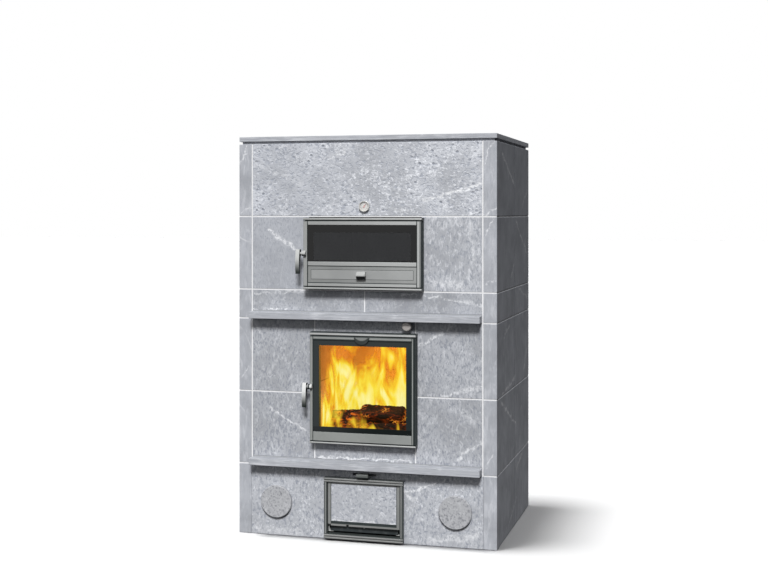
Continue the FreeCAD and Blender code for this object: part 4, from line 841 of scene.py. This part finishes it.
def flameGlow(name, curtain, look):
    f = Finish(name)
    flow = f.node("ShaderNodeUVMap", {"uv_map": "flow"})
    across = f.node("ShaderNodeSeparateXYZ", inputs={0: flow})
    up = across.also(1)
    lick = f.grain(f.mapped(f.place, (1.0, 1.0, 0.42), move=(curtain["seed"], 0, 0)), 9.5, 2.0, 0.5, 1.8)
    streak = f.grain(f.mapped(f.place, (1.0, 1.0, 0.24), move=(0, 0, curtain["seed"])), 24.0, 3.0, 0.55, 1.2)
    heat = (lick - 0.5) * 1.55 + (streak - 0.5) * 0.42 + curtain["mean"]
    core = f.step(f.z, look["coreTop"], look["coreFoot"]) * curtain["core"]
    heat = heat + core - f.step(up, 0.4, 1.0) * 0.16
    edge = f.step(across, 0.0, 0.04) * f.step(across, 1.0, 0.94)
    alpha = f.step(heat, curtain["from"], curtain["to"]) * curtain["most"]
    alpha = alpha * edge * f.step(up, 1.0, curtain["soft"]) * f.step(up, 0.0, 0.1)
    return f.surface(f.mix(heat, *look["smoke"]), heat * 0.1 + 0.9,
                     {"Alpha": alpha, "Emission Color": f.ramp(heat, look["stops"]),
                      "Emission Strength": look["strength"], "Specular IOR Level": 0.0})


def onLine(line, share):
    # smooth curve through the points of a line
    spot = share * (len(line) - 1)
    first = min(int(spot), len(line) - 2)
    t = spot - first
    a, b, c, d = [Vector(line[max(0, min(len(line) - 1, first + k))]) for k in (-1, 0, 1, 2)]
    return (b * 2 + (c - a) * t + (a * 2 - b * 5 + c * 4 - d) * t ** 2 + (b * 3 - a - c * 3 + d) * t ** 3) / 2


def flameCurtain(curtain, look):
    draw = random.Random(curtain["seed"])
    peaks = []
    for index in range(curtain["peaks"]):
        centre = (index + draw.uniform(0.25, 0.75)) / curtain["peaks"]
        peaks.append((centre, draw.uniform(*curtain["tall"]), draw.uniform(*curtain["slim"])))
    sway = draw.uniform(0, 6.28)
    rows = []
    for i in range(look["across"] + 1):
        u = i / look["across"]
        ends = min(1.0, 9 * u, 9 * (1 - u))
        foot = onLine(curtain["line"], u)
        run = (onLine(curtain["line"], min(1, u + 0.01)) - onLine(curtain["line"], max(0, u - 0.01))).xy.normalized()
        tip = foot.z * (0.75 + 0.25 * ends)
        tip += sum(tall * math.exp(-((u - c) / slim) ** 2) for c, tall, slim in peaks)
        column = []
        for j in range(look["up"] + 1):
            v = j / look["up"]
            lean = look["lean"] * v * math.sin(5.0 * v + 9.0 * u + sway) * ends
            wave = look["wave"] * math.sin(7 * u + 3 * v + sway) * (0.3 + v) * ends
            place = foot.xy + run * lean + Vector((-run.y, run.x)) * wave
            thick = look["thick"] * ends * (1 - v) ** 0.6 * min(1.0, 6 * v + 0.05)
            half = Vector((run.y, -run.x)) * (thick / 2 + look["thinnest"])
            column.append((place, half, look["floor"] + tip * v, u, v))
        rows.append(column)
    points, flow, faces = [], [], []
    for column in rows:
        for place, half, z, u, v in column:
            points += [(*(place + half), z), (*(place - half), z)]
            flow += [(u, v), (u, v)]
    last, top = look["across"], look["up"]

    def quad(*corners):
        faces.append([2 * (i * (top + 1) + j) + back for i, j, back in corners])

    for i in range(last):
        for j in range(top):
            quad((i, j, 0), (i + 1, j, 0), (i + 1, j + 1, 0), (i, j + 1, 0))
            quad((i, j, 1), (i, j + 1, 1), (i + 1, j + 1, 1), (i + 1, j, 1))
        quad((i, 0, 0), (i, 0, 1), (i + 1, 0, 1), (i + 1, 0, 0))
        quad((i, top, 0), (i + 1, top, 0), (i + 1, top, 1), (i, top, 1))
    for j in range(top):
        quad((0, j, 0), (0, j + 1, 0), (0, j + 1, 1), (0, j, 1))
        quad((last, j, 0), (last, j, 1), (last, j + 1, 1), (last, j + 1, 0))
    piece = meshPiece(curtain["name"], points, faces, flameGlow(curtain["name"] + "Glow", curtain, look))
    piece.visible_shadow = False  # flames let the fire's light through
    layer = piece.data.uv_layers.new(name="flow")
    for loop in piece.data.loops:
        layer.data[loop.index].uv = flow[loop.vertex_index]
    return piece


for curtain in flameLook["curtains"]:
    flame = flameCurtain(curtain, flameLook)
    print(curtain["name"], len(flame.data.polygons), "faces")

# stage: pale floor, soft suns, two lamps in the fire, a white surround and the photograph's camera
stageLook = {"floorHalf": 60.0, "floorDrop": 0.0006, "floorLow": (0.9, 0.9, 0.9), "floorHigh": (0.92, 0.92, 0.92),
             "fill": 0.07, "fillBlue": 1.03,
             # name, power, angle, turn from the front, rise, and whether it lights the floor or the rest
             "suns": (("keySun", 4.12, 15.0, 12.0, 44.0, False), ("fillSun", 0.6, 60.0, -38.0, 12.0, False),
                      ("backSun", 2.3, 20.0, 197.0, 30.0, False), ("leftSun", 1.8, 30.0, -108.0, 28.0, False),
                      ("floorSun", 2.61, 13.0, -66.0, 80.5, True), ("floorSky", 0.8, 17.0, 0.0, 90.0, True)),
             "lamps": (((0.06, -0.16, 0.7), 1.0), ((0.02, 0.02, 0.78), 1.4)), "lampColour": (1.0, 0.36, 0.07),
             "lampSize": 0.06}


def paleFloor(look):
    half, drop = look["floorHalf"], look["floorDrop"]
    mesh = bpy.data.meshes.new("paleFloor")
    mesh.from_pydata([(-half, -half, -drop), (half, -half, -drop), (half, half, -drop), (-half, half, -drop)],
                     [], [(0, 1, 2, 3)])
    f = Finish("floorPaint")
    cloud = f.grain(f.place, 0.8, 3.0)
    mesh.materials.append(f.surface(f.mix(cloud, look["floorLow"], look["floorHigh"]), cloud * 0.1 + 0.85,
                                    {"Specular IOR Level": 0.0}))
    floor = placed("paleFloor", mesh)
    floor.visible_diffuse = False
    floor.visible_glossy = False
    return floor


def sunLight(name, power, angle, turn, rise):
    lamp = bpy.data.lights.new(name, "SUN")
    lamp.energy = power
    lamp.angle = math.radians(angle)
    sun = placed(name, lamp)
    a, e = math.radians(turn), math.radians(rise)
    toSun = Vector((math.sin(a) * math.cos(e), -math.cos(a) * math.cos(e), math.sin(e)))
    sun.rotation_mode = "QUATERNION"
    sun.rotation_quaternion = toSun.to_track_quat("Z", "Y")
    return sun


def litObjects(name, floor, state):
    group = bpy.data.collections.new(name)
    group.objects.link(floor)
    group.collection_objects[0].light_linking.link_state = state
    return group


floor = paleFloor(stageLook)
lit = {False: litObjects("notFloor", floor, "EXCLUDE"), True: litObjects("onlyFloor", floor, "INCLUDE")}
for name, power, angle, turn, rise, onFloor in stageLook["suns"]:
    sunLight(name, power, angle, turn, rise).light_linking.receiver_collection = lit[onFloor]

for index, (spot, power) in enumerate(stageLook["lamps"]):
    lamp = bpy.data.lights.new("fireGlow%d" % index, "POINT")
    lamp.energy = power
    lamp.color = stageLook["lampColour"]
    lamp.shadow_soft_size = stageLook["lampSize"]
    placed(lamp.name, lamp).location = spot


def whiteSurround(look):
    world = bpy.data.worlds.new("whiteSurround")
    world.use_nodes = True
    t = Tree(world.node_tree)
    seen = t.node("ShaderNodeLightPath", out="Is Camera Ray")
    fill = look["fill"]
    dim = t.node("ShaderNodeBackground", inputs={"Color": (fill, fill, fill * look["fillBlue"], 1.0)})
    white = t.node("ShaderNodeBackground", inputs={"Color": (1.0, 1.0, 1.0, 1.0)})
    both = t.node("ShaderNodeMixShader", inputs={0: seen, 1: dim, 2: white})
    t.node("ShaderNodeOutputWorld", inputs={"Surface": both})
    bpy.context.scene.world = world


whiteSurround(stageLook)
bpy.context.scene.view_settings.view_transform = "Standard"

cameraLook = {"lens": 59.298, "sensor": 36.0, "shiftY": -0.0995, "turn": 15.4214,
              "place": (1.58922, -5.8742, 1.47462)}
lens = bpy.data.cameras.new("photoCamera")
lens.lens = cameraLook["lens"]
lens.sensor_width = cameraLook["sensor"]
lens.shift_y = cameraLook["shiftY"]
camera = placed("photoCamera", lens)
camera.location = cameraLook["place"]
camera.rotation_euler = (math.pi / 2, 0.0, math.radians(cameraLook["turn"]))
bpy.context.scene.camera = camera
print("stage set")
